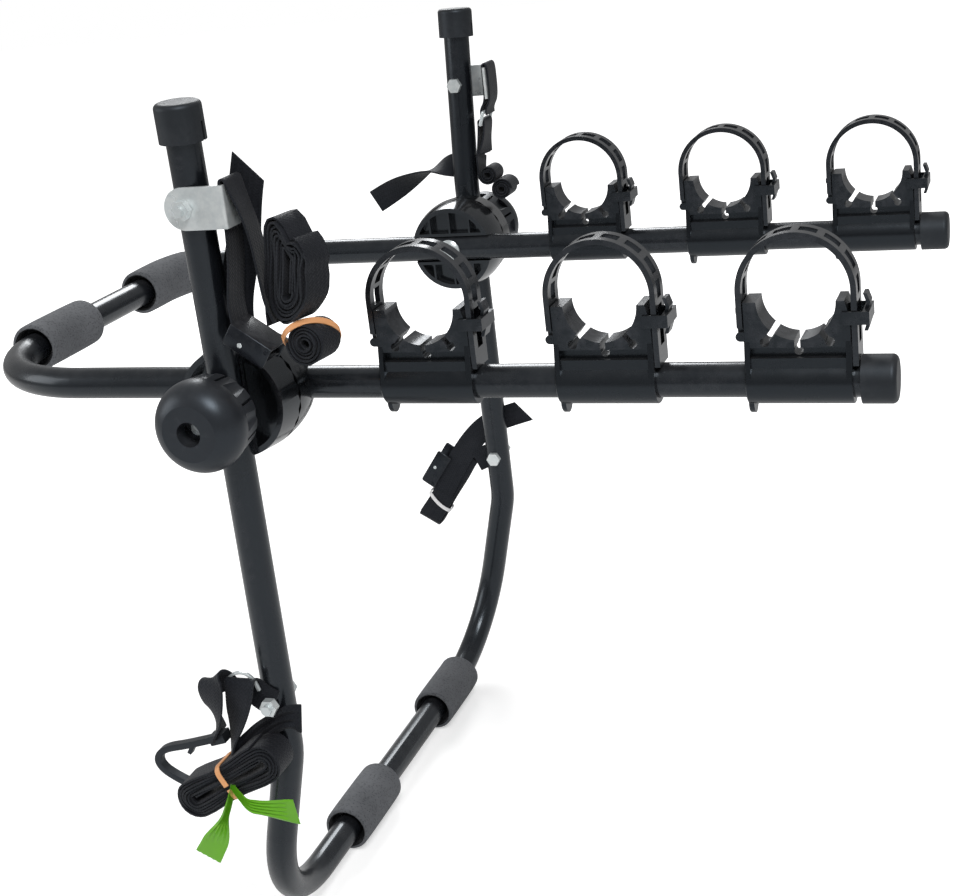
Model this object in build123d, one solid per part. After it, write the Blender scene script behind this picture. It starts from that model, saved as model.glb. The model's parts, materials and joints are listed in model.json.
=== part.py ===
from build123d import *
import os
from math import cos, degrees, pi, radians, sin, sqrt, tan

# Trunk mounted rack for three bikes. Two bent tube frames meet at a pair of toothed hubs: the legs hang
# on the car, and the arms carry six cradles. X points away from the car along the arms, Y goes across
# it and Z up. The origin lies on the hub axis, midway between the sides. Lengths are in millimetres.

# Tubes
tube_d = 25.4
tube_wall = 1.5
tube_r = tube_d / 2

# Clearances
seat_fit = 0.15          # between pieces that are fastened together
soft_fit = 0.3           # between a soft piece and what carries it
run_fit = 0.3            # between pieces that turn past each other
thread_fit = 0.05
over = 2.0               # how far a cutter runs past the face that it opens

# Leg frame
leg_half_span = 276.0
leg_top_z = 229.2
leg_spread = 9.5         # how far each leg's top stands outside its hub
leg_lean = 5.0           # how far it leans away from the car
spread_start_z = 54.0
spread_bend_r = 300.0
knee_drop = 295.7
knee_angle = 13.75
knee_r = 80.0
shin_length = 183.1
leg_corner_r = 100.0

# Arm frame
hub_offset = 58.0        # from an arm's axis out to its leg's axis
arm_reach = 485.2
arm_front = 280.4
arm_corner_r = 110.0

# End caps
cap_d = 34.5
cap_floor = 3.0
cap_edge_r = 4.0
leg_cap_length = 28.0
arm_cap_length = 24.0
cap_slit = 2.6
cap_slit_depth = 1.6
cap_slit_share = 0.55

# Foam pads on the cross tubes
pad_d = 43.0
pad_length = 86.0
pad_recess_d = 35.0
pad_recess = 9.0
pad_edge = 1.5
left_arm_pad_start = 32.0        # from the middle of the rack
left_leg_pad_start = 35.0
right_arm_pad_lead = 39.0        # from its inner end to the start of the tube's bend
right_leg_pad_lead = 68.0

# Hub discs
disc_face_r = 41.5
disc_seam_r = 45.0
disc_outer_r = 42.5
disc_face_lip = 6.0      # how far the inner disc's face stands inside the arm's axis
disc_outer_lip = 4.0     # how far the outer disc stops short of the leg's axis
disc_rim = 4.5
disc_bulge_share = 0.4
disc_bulge_r_share = 0.75
tooth_count = 24
tooth_depth = 2.0
tooth_start_r = 30.0
rib_count = 3
rib_pitch = 21.0
rib_width = 2.0
pocket_depth = 9.0
channel_wall = 3.0
recess_depth = 11.0

# Hub bolts and knobs
hub_bolt_d = 10.0
hub_head_d = 22.0
hub_head_h = 4.5
hub_head_edge_share = 0.33
hub_dome_r_share = 0.625
hub_dome_h_share = 0.86
saddle_d = 26.0
saddle_floor = 2.5
saddle_wrap = 9.0
washer_d = 24.0
washer_t = 2.0
knob_length = 46.5
knob_d = 70.0
knob_skirt_d = 64.0
knob_front_d = 43.0
knob_widest_share = 0.46
knob_dome_r_share = 0.2
knob_dome_h_share = 0.64
knob_hole_d = 19.0
knob_hole_depth = 22.5
knob_lobes = 8
knob_scallop_r = 9.0
knob_scallop_bite = 4.0
knob_scallop_length = 20.0
knob_slot = 2.2
knob_slot_depth = 5.0
knob_nut_af = 17.0
knob_nut_h = 9.0

# Cradles
cradle_first_x = 143.5
cradle_end_room = 65.7   # from the last cradle's middle to the arm's end
cradle_count = 3
cradle_length = 73.4
cradle_width = 25.0
plate_t = 4.0
sleeve_d = 34.0
trough_r = 27.0
trough_z = 59.0
tip_z = -24.0
tip_w_share = 0.5
plate_edge = 0.7         # slope along the outer edges of an end plate
waist_share = 1 / 3
finger_slot = 4.0
finger_slot_length = 9.0
finger_key_r = 3.3
finger_angles = (-38, 0, 38)
pocket_side = 6.0
pocket_low_z = 19.0
pocket_high_z = 26.5

# Ladder straps and what holds them
strap_t = 4.0
strap_w = 25.0
strap_arch_r = 39.0      # to the middle of the strap's thickness
strap_arch_z = 66.0
strap_tail_z = 13.0
strap_pin_z = 34.5
strap_eye_r = 3.0
strap_eye_w = 17.6
strap_pin_r = 1.6
rung_pitch = 17.0
rung_slot = 12.5
rung_slot_w = 10.4
first_rung = 16.5
rung_shares = tuple(range(11))
ear_t = 3.2
stud_w = 8.0
stud_h = 4.0
stud_reach = 6.3
hook_inner_gap = 3.4     # between the strap's outer face and the hook's lip
hook_t = 2.6
hook_low_z = 36.0
hook_high_z = 62.0
hook_w = 12.0
hook_wave = 2.2
hook_cheek_t = 1.6
hook_cheek_h = 9.0
hook_cheek_z = 47.0

# Strap anchors on the legs
anchor_bolt_d = 8.0
anchor_head_af = 13.0
anchor_head_h = 5.3
anchor_nut_h = 6.5
anchor_bolt_end = 4.0
upper_anchor_z = 155.0
lower_anchor_z = -246.0
bracket_t = 2.5
bracket_h = 31.0
bracket_play = 1.2       # between the leaning leg and the bracket's plate
bracket_reach = 33.0     # from the bolt to the outside of its bend
bracket_wall = 30.0
washer_big_d = 22.0

# Webbing: routes are X and Z of the middle of its thickness, in real sizes
web_t = 1.6
web_w = 25.0
web_pitch = 2.4          # between neighbouring layers
web_first_r = 3.0
bend_share = 0.45        # of the shorter run beside a bend that the bend may take up
web_gap = web_pitch - web_t
lug_t = 2.0
lug_r = 13.0
band_t = 1.0
band_w = 5.0
ribbon_t = 0.6

# Left upper strap
left_loop_route = ((27, 66), (31, 104), (45, 122), (48.5, 100), (46, 78), (39, 59))
left_tail_outline = ((41, 190), (64, 167), (69, 152), (83, 141.8), (74, 141.8), (50, 152))
left_bundle_foot = (73.0, 87.0)
left_bundle_run = 34.0
left_bundle_lean = 10.0
left_bundle_half_count = 15
left_bundle_lead = 38.0
left_roll_half_count = 9
left_roll_lean = -4.0
buckle_length = 36.0
buckle_t = 13.0
buckle_wall = 1.8
left_buckle_place = (35.5, 54.5, 215.0)
lever_t = 2.6
lever_share = 0.8
lever_pin_d = 4.0

# Right upper strap
ring_wire_d = 3.5
ring_w = 29.0
ring_top = (29.0, 126.0)
ring_low = (25.0, 114.0)
right_roll_places = ((25.5, 62.0), (40.0, 46.8))
right_roll_half_count = (6, 7)
right_roll_lead = 36.0
right_strap_drop = 17.1  # of the second loop below the ring's low bar
right_tail_outline = ((-127, 44), (-109, 24), (-62, 52), (-24, 56), (8, 60), (20, 58), (20, 72), (-10, 78),
                      (-32, 78), (-66, 66))

# Left lower strap
low_bundle_foot = (-68.0, -322.0)
low_bundle_run = 76.0
low_bundle_lean = 60.0
low_bundle_stand = 4.3   # how far the bundle stands outside the webbing on the bolt
low_bundle_half_count = 12
low_band_share = 0.51
low_lobe_route = ((-14, -226), (-36, -216), (-61, -230), (-66, -252), (-53, -271.2))
low_flap_outline = ((25, -243), (25, -268), (0, -279.5), (-30, -300), (-34, -284), (-16, -262), (0, -254.5))
hook_route = ((-44, -272), (-84, -281.5), (-102, -286.5), (-107, -296), (-100, -304.5), (-89, -312))
trunk_hook_t = 5.0
trunk_hook_w = 12.0
ribbon_knot = (-30.0, -305.5)
ribbon_outlines = (((-1, 0), (3, 0), (-25, -70), (-45, -65)),
                   ((0, 2), (11, -11), (57, -7), (51, -28), (12, -19)))

# Right lower strap
far_bundle_foot = (-96.0, -328.0)
far_bundle_run = 92.0
far_bundle_lean = 35.6
far_bundle_half_count = 4
far_band_share = 0.16
far_web_outline = ((30, -198), (7, -217), (-42, -268), (-64, -254), (-22, -206), (-6, -198))
far_buckle_place = (-80.5, -273.2, -54.4)


def block(x, y, z):
    """Box between pairs of limits."""
    sizes = [b - a for a, b in (x, y, z)]
    middle = [(a + b) / 2 for a, b in (x, y, z)]
    return Pos(*middle) * Box(*sizes)


def round_y(r, y0, y1, x=0, z=0):
    """Cylinder along Y."""
    return Pos(x, (y0 + y1) / 2, z) * Rot(90, 0, 0) * Cylinder(r, abs(y1 - y0))


def round_x(r, x0, x1, y=0, z=0):
    """Cylinder along X."""
    return Pos((x0 + x1) / 2, y, z) * Rot(0, 90, 0) * Cylinder(r, abs(x1 - x0))


def hex_y(across_flats, y0, y1, x=0, z=0):
    """Hexagonal prism along Y."""
    plane = Plane(origin=(x, min(y0, y1), z), x_dir=(1, 0, 0), z_dir=(0, 1, 0))
    return extrude(plane * RegularPolygon(across_flats / 2, 6, major_radius=False), abs(y1 - y0))


def turned_y(points, arcs=()):
    """Solid turned about Y from (radius, y) points; arcs maps a point's number to its arc's middle."""
    edges = []
    for i, start in enumerate(points):
        end = points[(i + 1) % len(points)]
        middle = dict(arcs).get(i)
        edges.append(ThreePointArc(start, middle, end) if middle else Line(start, end))
    return revolve(make_face(Curve() + edges), Axis.Y)


def left_of(part):
    """The same piece on the left side of the rack."""
    return mirror(part, about=Plane.XZ)


def swept_ring(path, outer_r, inner_r):
    """Hollow round section along a path."""
    section = Plane(origin=path @ 0, z_dir=path % 0) * (Circle(outer_r) - Circle(inner_r))
    return sweep(section, path=path)


# Frames

arm_half_span = leg_half_span - hub_offset
leg_slope_y = leg_spread / (leg_top_z - spread_start_z)
leg_slope_x = leg_lean / (leg_top_z - spread_start_z)
shin_dir = Vector(-sin(radians(knee_angle)), 0, -cos(radians(knee_angle)))
leg_low = Vector(0, leg_half_span, -knee_drop) + shin_dir * shin_length
leg_bar_straight = leg_half_span - leg_corner_r
arm_bar_straight = arm_half_span - arm_corner_r
cradle_pitch = (arm_reach - cradle_end_room - cradle_first_x) / (cradle_count - 1)


def leg_centre(z):
    """X and Y of the right leg's axis at a height above its spread, or on its upright part."""
    rise = max(0, z - spread_start_z)
    return leg_slope_x * rise, leg_half_span + leg_slope_y * rise


def leg_path():
    """Centre line of the leg frame, from the right leg's top to the left one's."""
    top_z = leg_top_z - cap_floor
    right = [Vector(*leg_centre(top_z), top_z), Vector(0, leg_half_span, spread_start_z),
             Vector(0, leg_half_span, -knee_drop), leg_low]
    left = [Vector(p.X, -p.Y, p.Z) for p in reversed(right)]
    bends = [spread_bend_r, knee_r, leg_corner_r]
    return FilletPolyline(*right, *left, radius=bends + bends[::-1])


def arm_path():
    """Centre line of the arm frame, from the right arm's end to the left one's."""
    end_x = arm_reach - cap_floor
    right = [Vector(end_x, arm_half_span, 0), Vector(-arm_front, arm_half_span, 0)]
    left = [Vector(p.X, -p.Y, p.Z) for p in reversed(right)]
    return FilletPolyline(*right, *left, radius=arm_corner_r)


def leg_frame():
    """Leg tube with the hub holes and the anchor holes drilled across it."""
    tube = swept_ring(leg_path(), tube_r, tube_r - tube_wall)
    reach = leg_half_span + leg_spread + tube_d
    drill = round_y(hub_bolt_d / 2 + run_fit, -reach, reach)
    for z in (upper_anchor_z, lower_anchor_z):
        drill += round_y(anchor_bolt_d / 2 + seat_fit, -reach, reach, leg_centre(z)[0], z)
    return tube - drill


def arm_frame():
    """Arm tube with the hub holes drilled across it."""
    reach = arm_half_span + tube_d
    tube = swept_ring(arm_path(), tube_r, tube_r - tube_wall)
    return tube - round_y(hub_bolt_d / 2 + seat_fit, -reach, reach)


def end_cap(length, end, outward):
    """Moulded cap over a tube's end, with the slit in its skirt on the side away from the car."""
    skirt = length - cap_floor
    cap = Pos(0, 0, (cap_floor - skirt) / 2) * Cylinder(cap_d / 2, length)
    cap = fillet(cap.edges().sort_by(Axis.Z)[-1], cap_edge_r)
    cap -= Pos(0, 0, -skirt / 2) * Cylinder(tube_r + seat_fit, skirt)
    slit = (cap_d / 2 - cap_slit_depth, cap_d)
    cap -= block(slit, (-cap_slit / 2, cap_slit / 2), (-skirt - over, -skirt * (1 - cap_slit_share)))
    return Plane(origin=end, x_dir=cap_slit_side(outward), z_dir=outward).location * cap


def cap_slit_side(outward):
    """Direction of the slit: square to the tube, as near to X as the tube allows, or up on an arm."""
    side = Vector(1, 0, 0) if abs(outward.Z) > abs(outward.X) else Vector(0, 0, -1)
    return (side - outward * side.dot(outward)).normalized()


def pad_path(start, straight, corner_r, bar, turn_dir, side):
    """Centre line of a pad: along the cross tube and, past its straight part, round the corner."""
    end = start + pad_length
    first = bar + Vector(0, side * start, 0)
    if end <= straight:
        return Line(first, bar + Vector(0, side * end, 0))
    corner = bar + Vector(0, side * straight, 0)
    turn = (end - straight) / corner_r
    spots = []
    for part in (turn / 2, turn):
        across = Vector(0, side * corner_r * sin(part), 0)
        spots.append(corner + across + turn_dir * corner_r * (1 - cos(part)))
    return Wire([Line(first, corner).edge(), ThreePointArc(corner, *spots).edge()])


def foam_pad(path):
    """Foam sleeve with a wider recess at each end."""
    pad = swept_ring(path, pad_d / 2, tube_r + soft_fit)
    rims = [e for e in pad.edges().filter_by(GeomType.CIRCLE) if abs(e.radius - pad_d / 2) < soft_fit]
    pad = fillet([e for e in rims if e.is_closed], pad_edge)
    for spot, inward in ((path @ 0, path % 0), (path @ 1, (path % 1) * -1)):
        mouth = Pos(0, 0, (pad_recess - over) / 2) * Cylinder(pad_recess_d / 2, pad_recess + over)
        pad -= Plane(origin=spot, z_dir=inward).location * mouth
    return pad


# Hubs

seam_y = (arm_half_span + leg_half_span) / 2
inner_face_y = arm_half_span - disc_face_lip
outer_face_y = leg_half_span - disc_outer_lip
spacer_y = leg_half_span + tube_r + saddle_floor
washer_y = spacer_y + run_fit
knob_y = washer_y + washer_t + run_fit


def tooth_grooves(crest_y, into):
    """Grooves between the teeth of a disc, cut from the crest plane."""
    half = pi * disc_seam_r / tooth_count
    plane = Plane(origin=(tooth_start_r, crest_y, 0), x_dir=(0, 0, 1), z_dir=(1, 0, 0))
    sign = plane.y_dir.Y * into
    outline = Polyline((-half, 0), (half, 0), (0, sign * tooth_depth), close=True)
    groove = extrude(plane * make_face(outline), disc_seam_r - tooth_start_r + over)
    return [Rot(0, i * 360 / tooth_count, 0) * groove for i in range(tooth_count)]


def inner_disc():
    """Right disc on the arm: ribbed pockets round the arm's channel, and teeth towards the leg."""
    crest_y = seam_y - run_fit / 2
    bulge = (disc_face_r + (disc_seam_r - disc_face_r) * disc_bulge_r_share,
             inner_face_y + (crest_y - inner_face_y) * disc_bulge_share)
    outline = [(0, inner_face_y), (disc_face_r, inner_face_y), (disc_seam_r, crest_y), (0, crest_y)]
    disc = turned_y(outline, {1: bulge})
    disc -= tooth_grooves(crest_y, -1)
    channel_r = tube_r + seat_fit
    pocket = round_y(disc_face_r - disc_rim, inner_face_y - over, inner_face_y + pocket_depth)
    wide = disc_seam_r + over
    pocket -= block((-wide, wide), (0, seam_y), (-channel_r - channel_wall, channel_r + channel_wall))
    for i in range(rib_count):
        x = (i - (rib_count - 1) / 2) * rib_pitch
        pocket -= block((x - rib_width / 2, x + rib_width / 2), (0, seam_y), (-wide, wide))
    disc -= pocket
    disc -= round_x(channel_r, -wide, wide, arm_half_span)
    disc -= block((-wide, wide), (0, arm_half_span), (-channel_r, channel_r))
    return disc - round_y(hub_bolt_d / 2 + seat_fit, 0, leg_half_span)


def outer_disc():
    """Right disc on the leg: teeth towards the arm, and an open recess round the leg's channel."""
    crest_y = seam_y + run_fit / 2
    outline = [(0, crest_y), (disc_seam_r, crest_y), (disc_outer_r, outer_face_y), (0, outer_face_y)]
    disc = turned_y(outline)
    disc -= tooth_grooves(crest_y, 1)
    channel_r = tube_r + seat_fit
    wide = disc_seam_r + over
    recess = round_y(disc_outer_r - disc_rim, outer_face_y - recess_depth, outer_face_y + over)
    wall = channel_r + channel_wall
    recess -= block((-wall, wall), (0, leg_half_span), (-wide, wide))
    disc -= recess
    disc -= Pos(0, leg_half_span, 0) * Cylinder(channel_r, 2 * wide)
    return disc - round_y(hub_bolt_d / 2 + run_fit, 0, leg_half_span)


def saddle_spacer():
    """Right spacer that seats the washer on the round leg."""
    spacer = round_y(saddle_d / 2, leg_half_span + saddle_wrap - saddle_floor, spacer_y)
    spacer -= Pos(0, leg_half_span, 0) * Cylinder(tube_r + seat_fit, saddle_d + over)
    return spacer - round_y(hub_bolt_d / 2 + run_fit, leg_half_span, spacer_y + over)


def hub_bolt():
    """Right carriage bolt, from its domed head on the arm's inner side to the knob's nut."""
    head_y = arm_half_span - tube_r
    end_y = knob_y + knob_length - knob_hole_depth + knob_nut_h
    head_r = hub_head_d / 2
    edge_y = head_y - hub_head_h * hub_head_edge_share
    dome = [(0, head_y - hub_head_h), (head_r, edge_y), (head_r, head_y), (0, head_y)]
    middle = (head_r * hub_dome_r_share, head_y - hub_head_h * hub_dome_h_share)
    return turned_y(dome, {0: middle}) + round_y(hub_bolt_d / 2, head_y, end_y)


def hub_washer():
    """Right steel washer between the spacer and the knob."""
    ring = round_y(washer_d / 2, washer_y, washer_y + washer_t)
    return ring - round_y(hub_bolt_d / 2 + run_fit, washer_y - over, washer_y + washer_t + over)


knob_end_y = knob_y + knob_length
knob_nut_y = knob_end_y - knob_hole_depth


def knob():
    """Right grip knob: scalloped skirt, wide shoulder and domed front with a hole over the nut."""
    wide_y = knob_y + knob_length * knob_widest_share
    front_r = knob_front_d / 2
    outline = [(0, knob_y), (knob_skirt_d / 2, knob_y), (knob_d / 2, wide_y), (front_r, knob_end_y),
               (0, knob_end_y)]
    dome = (knob_d / 2 - (knob_d / 2 - front_r) * knob_dome_r_share,
            wide_y + (knob_end_y - wide_y) * knob_dome_h_share)
    body = turned_y(outline, {2: dome})
    scallop_x = knob_d / 2 + knob_scallop_r - knob_scallop_bite
    scallop = round_y(knob_scallop_r, knob_y - over, knob_y + knob_scallop_length, scallop_x)
    slot_x = (knob_skirt_d / 2 - knob_slot_depth, knob_d)
    slot = block(slot_x, (knob_y - over, wide_y - knob_slot), (-knob_slot / 2, knob_slot / 2))
    step = 360 / knob_lobes
    body -= [Rot(0, i * step, 0) * scallop for i in range(knob_lobes)]
    body -= [Rot(0, (i + 0.5) * step, 0) * slot for i in range(knob_lobes)]
    body -= round_y(knob_hole_d / 2, knob_nut_y + knob_nut_h, knob_end_y + over)
    body -= hex_y(knob_nut_af + 2 * seat_fit, knob_nut_y, knob_nut_y + knob_nut_h + over)
    return body - round_y(hub_bolt_d / 2 + run_fit, knob_y - over, knob_nut_y + over)


def knob_nut():
    """Right nut that is pressed into the knob."""
    nut = hex_y(knob_nut_af, knob_nut_y + seat_fit, knob_nut_y + knob_nut_h)
    return nut - round_y(hub_bolt_d / 2 + thread_fit, knob_nut_y - over, knob_end_y)


# Cradles, each drawn at the arm's axis and moved to its place

cradle_half = cradle_length / 2
plate_in = cradle_half - plate_t
strap_x = strap_arch_r
swing_r = 2 * strap_arch_r - strap_t / 2      # from the strap's pin to its inner face on the other side


def end_plate(tip):
    """Outline of a cradle's end plate in Y and Z, with a pointed or a round foot."""
    half_w = cradle_width / 2
    foot_r = sleeve_d / 2
    waist_z = (sleeve_d + trough_z) * waist_share
    outline = Polyline((-half_w, trough_z), (half_w, trough_z), (half_w, waist_z), (foot_r, 0),
                       (-foot_r, 0), (-half_w, waist_z), close=True)
    shape = make_face(outline) + Circle(foot_r)
    if tip:
        tip_r = foot_r * tip_w_share
        tip_middle_z = tip_z + tip_r
        foot = Polyline((-foot_r, 0), (foot_r, 0), (tip_r, tip_middle_z), (-tip_r, tip_middle_z), close=True)
        shape += make_face(foot) + Pos(0, tip_middle_z) * Circle(tip_r)
    return shape


def plate_solid(shape, x0, x1):
    """An end plate between two stations along the arm, with its outer edges sloped."""
    plate = extrude(Plane(origin=(x0, 0, 0), x_dir=(0, 1, 0), z_dir=(1, 0, 0)) * shape, x1 - x0)
    outer = plate.faces().sort_by(Axis.X)[-1 if x0 > 0 else 0]
    return chamfer(outer.edges(), plate_edge)


def finger_slots():
    """Slots with round ends that part the trough into fingers."""
    cut = None
    end_r = trough_r + finger_slot_length
    for angle in finger_angles:
        wide = (-cradle_width, cradle_width)
        slot = block((-finger_slot / 2, finger_slot / 2), wide, (-end_r, over - trough_r))
        slot += round_y(finger_key_r, -cradle_width, cradle_width, 0, -end_r)
        slot = Pos(0, 0, trough_z) * Rot(0, angle, 0) * slot
        cut = slot if cut is None else cut + slot
    return cut


def cradle_body():
    """Sleeve round the arm, trough with fingers, two end plates, strap pin, stud and hook."""
    half_w = cradle_width / 2
    body = round_x(sleeve_d / 2, -plate_in, plate_in)
    body += block((-plate_in, plate_in), (-half_w, half_w), (0, trough_z))
    body -= round_y(trough_r, -cradle_width, cradle_width, 0, trough_z)
    body -= finger_slots()
    for side in (-1, 1):
        y = sorted((side * (half_w - pocket_side), side * cradle_width))
        body -= block((-plate_in, plate_in), y, (pocket_low_z, pocket_high_z))
    body += plate_solid(end_plate(True), -cradle_half, -plate_in)
    right = plate_solid(end_plate(False), plate_in, cradle_half)
    wide = (-cradle_width, cradle_width)
    reach = round_y(swing_r - run_fit, *wide, -strap_x, strap_pin_z)
    reach += block((-cradle_length, 0), wide, (2 * tip_z, trough_z))
    reach += block((0, cradle_half), wide, (2 * tip_z, strap_pin_z))
    body = (body + right) & reach
    body += strap_hook() + strap_ears() + strap_stud()
    eye_w = strap_eye_w / 2 + run_fit
    body -= round_y(strap_eye_r + run_fit, -eye_w, eye_w, -strap_x, strap_pin_z)
    body += round_y(strap_pin_r, -half_w, half_w, -strap_x, strap_pin_z)
    return body - round_x(tube_r + seat_fit, -cradle_length, cradle_length)


def strap_ears():
    """Two ears on the left plate that hold the strap's pin."""
    ears = None
    inner = strap_eye_w / 2 + run_fit
    for side in (-1, 1):
        y = sorted((side * inner, side * (inner + ear_t)))
        ear = round_y(strap_eye_r + run_fit, *y, -strap_x, strap_pin_z)
        tall = (strap_pin_z - strap_eye_r - run_fit, strap_pin_z + strap_eye_r + run_fit)
        ear += block((-strap_x, -plate_in), y, tall)
        ears = ear if ears is None else ears + ear
    return ears


def strap_stud():
    """Stud through the strap's first slot."""
    z = strap_pin_z + first_rung
    tall = (z - stud_h / 2, z + stud_h / 2)
    return block((-cradle_half - stud_reach, -plate_in), (-stud_w / 2, stud_w / 2), tall)


def strap_hook():
    """Wavy hook outside the strap, carried by a cheek on each side of it."""
    x = strap_x + strap_t / 2 + hook_inner_gap
    quarter = (hook_high_z - hook_low_z) / 4
    line = [(x + hook_wave * (i % 2), hook_low_z + i * quarter) for i in range(5)]
    back = [(px + hook_t, pz) for px, pz in reversed(line)]
    plane = Plane(origin=(0, hook_w / 2, 0), x_dir=(1, 0, 0), z_dir=(0, -1, 0))
    hook = extrude(plane * make_face(Polyline(*line, *back, close=True)), hook_w)
    inner = strap_w / 2 + run_fit
    tall = (hook_cheek_z - hook_cheek_h / 2, hook_cheek_z + hook_cheek_h / 2)
    bridge_x = (x, x + hook_t + hook_wave)
    hook += block(bridge_x, (-inner - hook_cheek_t, inner + hook_cheek_t), tall)
    for side in (-1, 1):
        y = sorted((side * inner, side * (inner + hook_cheek_t)))
        hook += block((plate_in, bridge_x[1]), y, tall)
        root = sorted((side * cradle_width / 2 - side * over, side * (inner + hook_cheek_t)))
        hook += block((plate_in - over, plate_in + over), root, tall)
    return hook


def strap_place(distance):
    """Place on the strap's middle line at a distance up from its pin, with X across its thickness."""
    rise = strap_arch_z - strap_pin_z
    arc = pi * strap_arch_r
    if distance <= rise:
        return Pos(-strap_x, 0, strap_pin_z + distance)
    if distance <= rise + arc:
        turn = degrees((distance - rise) / strap_arch_r)
        return Pos(0, 0, strap_arch_z) * Rot(0, turn, 0) * Pos(-strap_x, 0, 0)
    return Pos(strap_x, 0, strap_arch_z - (distance - rise - arc))


def ladder_strap():
    """Rubber strap with a row of slots, an eye on the cradle's pin and a plain tail."""
    half_w = strap_w / 2
    outer = strap_arch_r + strap_t / 2
    inner = strap_arch_r - strap_t / 2
    wide = (-half_w, half_w)
    arch = round_y(outer, *wide, 0, strap_arch_z) - round_y(inner, -strap_w, strap_w, 0, strap_arch_z)
    strap = arch & block((-outer, outer), wide, (strap_arch_z, strap_arch_z + outer))
    strap += block((inner, outer), wide, (strap_tail_z, strap_arch_z))
    neck_z = strap_pin_z + 2 * strap_eye_r + run_fit
    strap += block((-outer, -inner), wide, (neck_z, strap_arch_z))
    eye_wide = (-strap_eye_w / 2, strap_eye_w / 2)
    strap += block((-outer, -inner), eye_wide, (strap_pin_z, neck_z))
    strap += round_y(strap_eye_r, *eye_wide, -strap_x, strap_pin_z)
    slot = block((-strap_t, strap_t), (-rung_slot_w / 2, rung_slot_w / 2), (-rung_slot / 2, rung_slot / 2))
    strap -= [strap_place(first_rung + i * rung_pitch) * slot for i in rung_shares]
    return strap - round_y(strap_pin_r + seat_fit, -strap_w, strap_w, -strap_x, strap_pin_z)


# Strap anchors, drawn on the right and mirrored to the left

upper_x, upper_y = leg_centre(upper_anchor_z)
bracket_face_y = upper_y + tube_r + bracket_play
lower_face_y = leg_half_span + tube_r + seat_fit


def anchor_bolts():
    """Four hexagon bolts through the legs, with their heads on the inner side."""
    bolts = []
    for x, y, z, face in anchor_places():
        head = y - tube_r - (leg_slope_y * anchor_head_af if z > 0 else 0)
        bolt = hex_y(anchor_head_af, head - anchor_head_h, head, x, z)
        bolt += round_y(anchor_bolt_d / 2, head, face + anchor_nut_h + anchor_bolt_end, x, z)
        bolts += [bolt, left_of(bolt)]
    return Compound(children=bolts)


def anchor_nuts():
    """Four nuts on the outer ends of those bolts."""
    nuts = []
    for x, y, z, face in anchor_places():
        nut = hex_y(anchor_head_af, face, face + anchor_nut_h, x, z)
        nut -= round_y(anchor_bolt_d / 2 + thread_fit, face - over, face + anchor_nut_h + over, x, z)
        nuts += [nut, left_of(nut)]
    return Compound(children=nuts)


def anchor_places():
    """X, Y and Z of each right bolt on its leg, and the face that its nut bears on."""
    upper = (upper_x, upper_y, upper_anchor_z, bracket_face_y + bracket_t + run_fit)
    lower = (0, leg_half_span, lower_anchor_z, lower_face_y + lug_t + seat_fit)
    return [upper, lower]


def upper_bracket():
    """Right zinc bracket: a plate that swings on the bolt, bent into a wall for the webbing."""
    end_x = upper_x + bracket_reach
    low, high = upper_anchor_z - bracket_h / 2, upper_anchor_z + bracket_h / 2
    face = (bracket_face_y, bracket_face_y + bracket_t)
    plate = block((upper_x, end_x), face, (low, high))
    plate += round_y(bracket_h / 2, *face, upper_x, upper_anchor_z)
    wall = block((end_x - bracket_t, end_x), (face[1] - bracket_wall, face[1]), (low, high))
    bracket = fillet((plate + wall).edges().filter_by(Axis.Z).sort_by(SortBy.DISTANCE)[-1], bracket_t)
    hole_r = anchor_bolt_d / 2 + run_fit
    return bracket - round_y(hole_r, face[0] - over, face[1] + over, upper_x, upper_anchor_z)


# Webbing, buckles and bands

upper_web_y = bracket_face_y - soft_fit - web_w / 2
lower_web_y = lower_face_y + seat_fit + web_w / 2


def route_radii(points):
    """Bend radius at each inner point of a route, as large as its runs allow."""
    radii = []
    for a, b, c in zip(points, points[1:], points[2:]):
        into, out = Vector(b) - Vector(a), Vector(c) - Vector(b)
        turn = radians(into.get_angle(out))
        radii.append(bend_share * min(into.length, out.length) / tan(turn / 2))
    return radii


def strip(route, middle_y, width=web_w, thick=web_t):
    """Webbing along a route of X and Z, with its width along Y."""
    points = [Vector(x, middle_y, z) for x, z in route]
    path = FilletPolyline(*points, radius=route_radii(points))
    section = Plane(origin=path @ 0, x_dir=(0, 1, 0), z_dir=path % 0) * Rectangle(width, thick)
    return sweep(section, path=path)


def sheet(outline, y0, thick):
    """Flat piece with an outline of X and Z."""
    plane = Plane(origin=(0, y0, 0), x_dir=(1, 0, 0), z_dir=(0, -1, 0))
    return extrude(plane * make_face(Polyline(*outline, close=True)), -thick)


def wound_path(half_count, run, lead):
    """Flat path wound round two ends, each half turn one half pitch wider than the last."""
    x, y, up = (web_pitch / 2 if half_count % 2 == 0 else 0) - web_first_r, 0, 1
    edges = []
    for i in range(half_count):
        r = web_first_r + i * web_pitch / 2
        if run:
            edges.append(Line((x, y), (x, y + up * run)).edge())
            y += up * run
        end = (x + 2 * r * up, y)
        edges.append(ThreePointArc((x, y), (x + r * up, y + r * up), end).edge())
        x, up = end[0], -up
    if run + lead:
        edges.append(Line((x, y), (x, y + up * (run + lead))).edge())
    return Wire(edges)


def wound_r(half_count):
    """Outer radius of a winding."""
    return web_first_r + (half_count - 1) * web_pitch / 2 + web_t / 2


def wound_gap(half_count, run, lead):
    """Least gap between the turns of a winding, measured on points of its path."""
    path = wound_path(half_count, run, lead)
    count = int(path.length / web_t)
    spots = [path @ (i / count) for i in range(count + 1)]
    skip = int((pi * web_first_r + over) / web_t) + 1
    least = min((spots[i] - spots[j]).length for i in range(count) for j in range(i + skip, count + 1))
    return least - web_t


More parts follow.
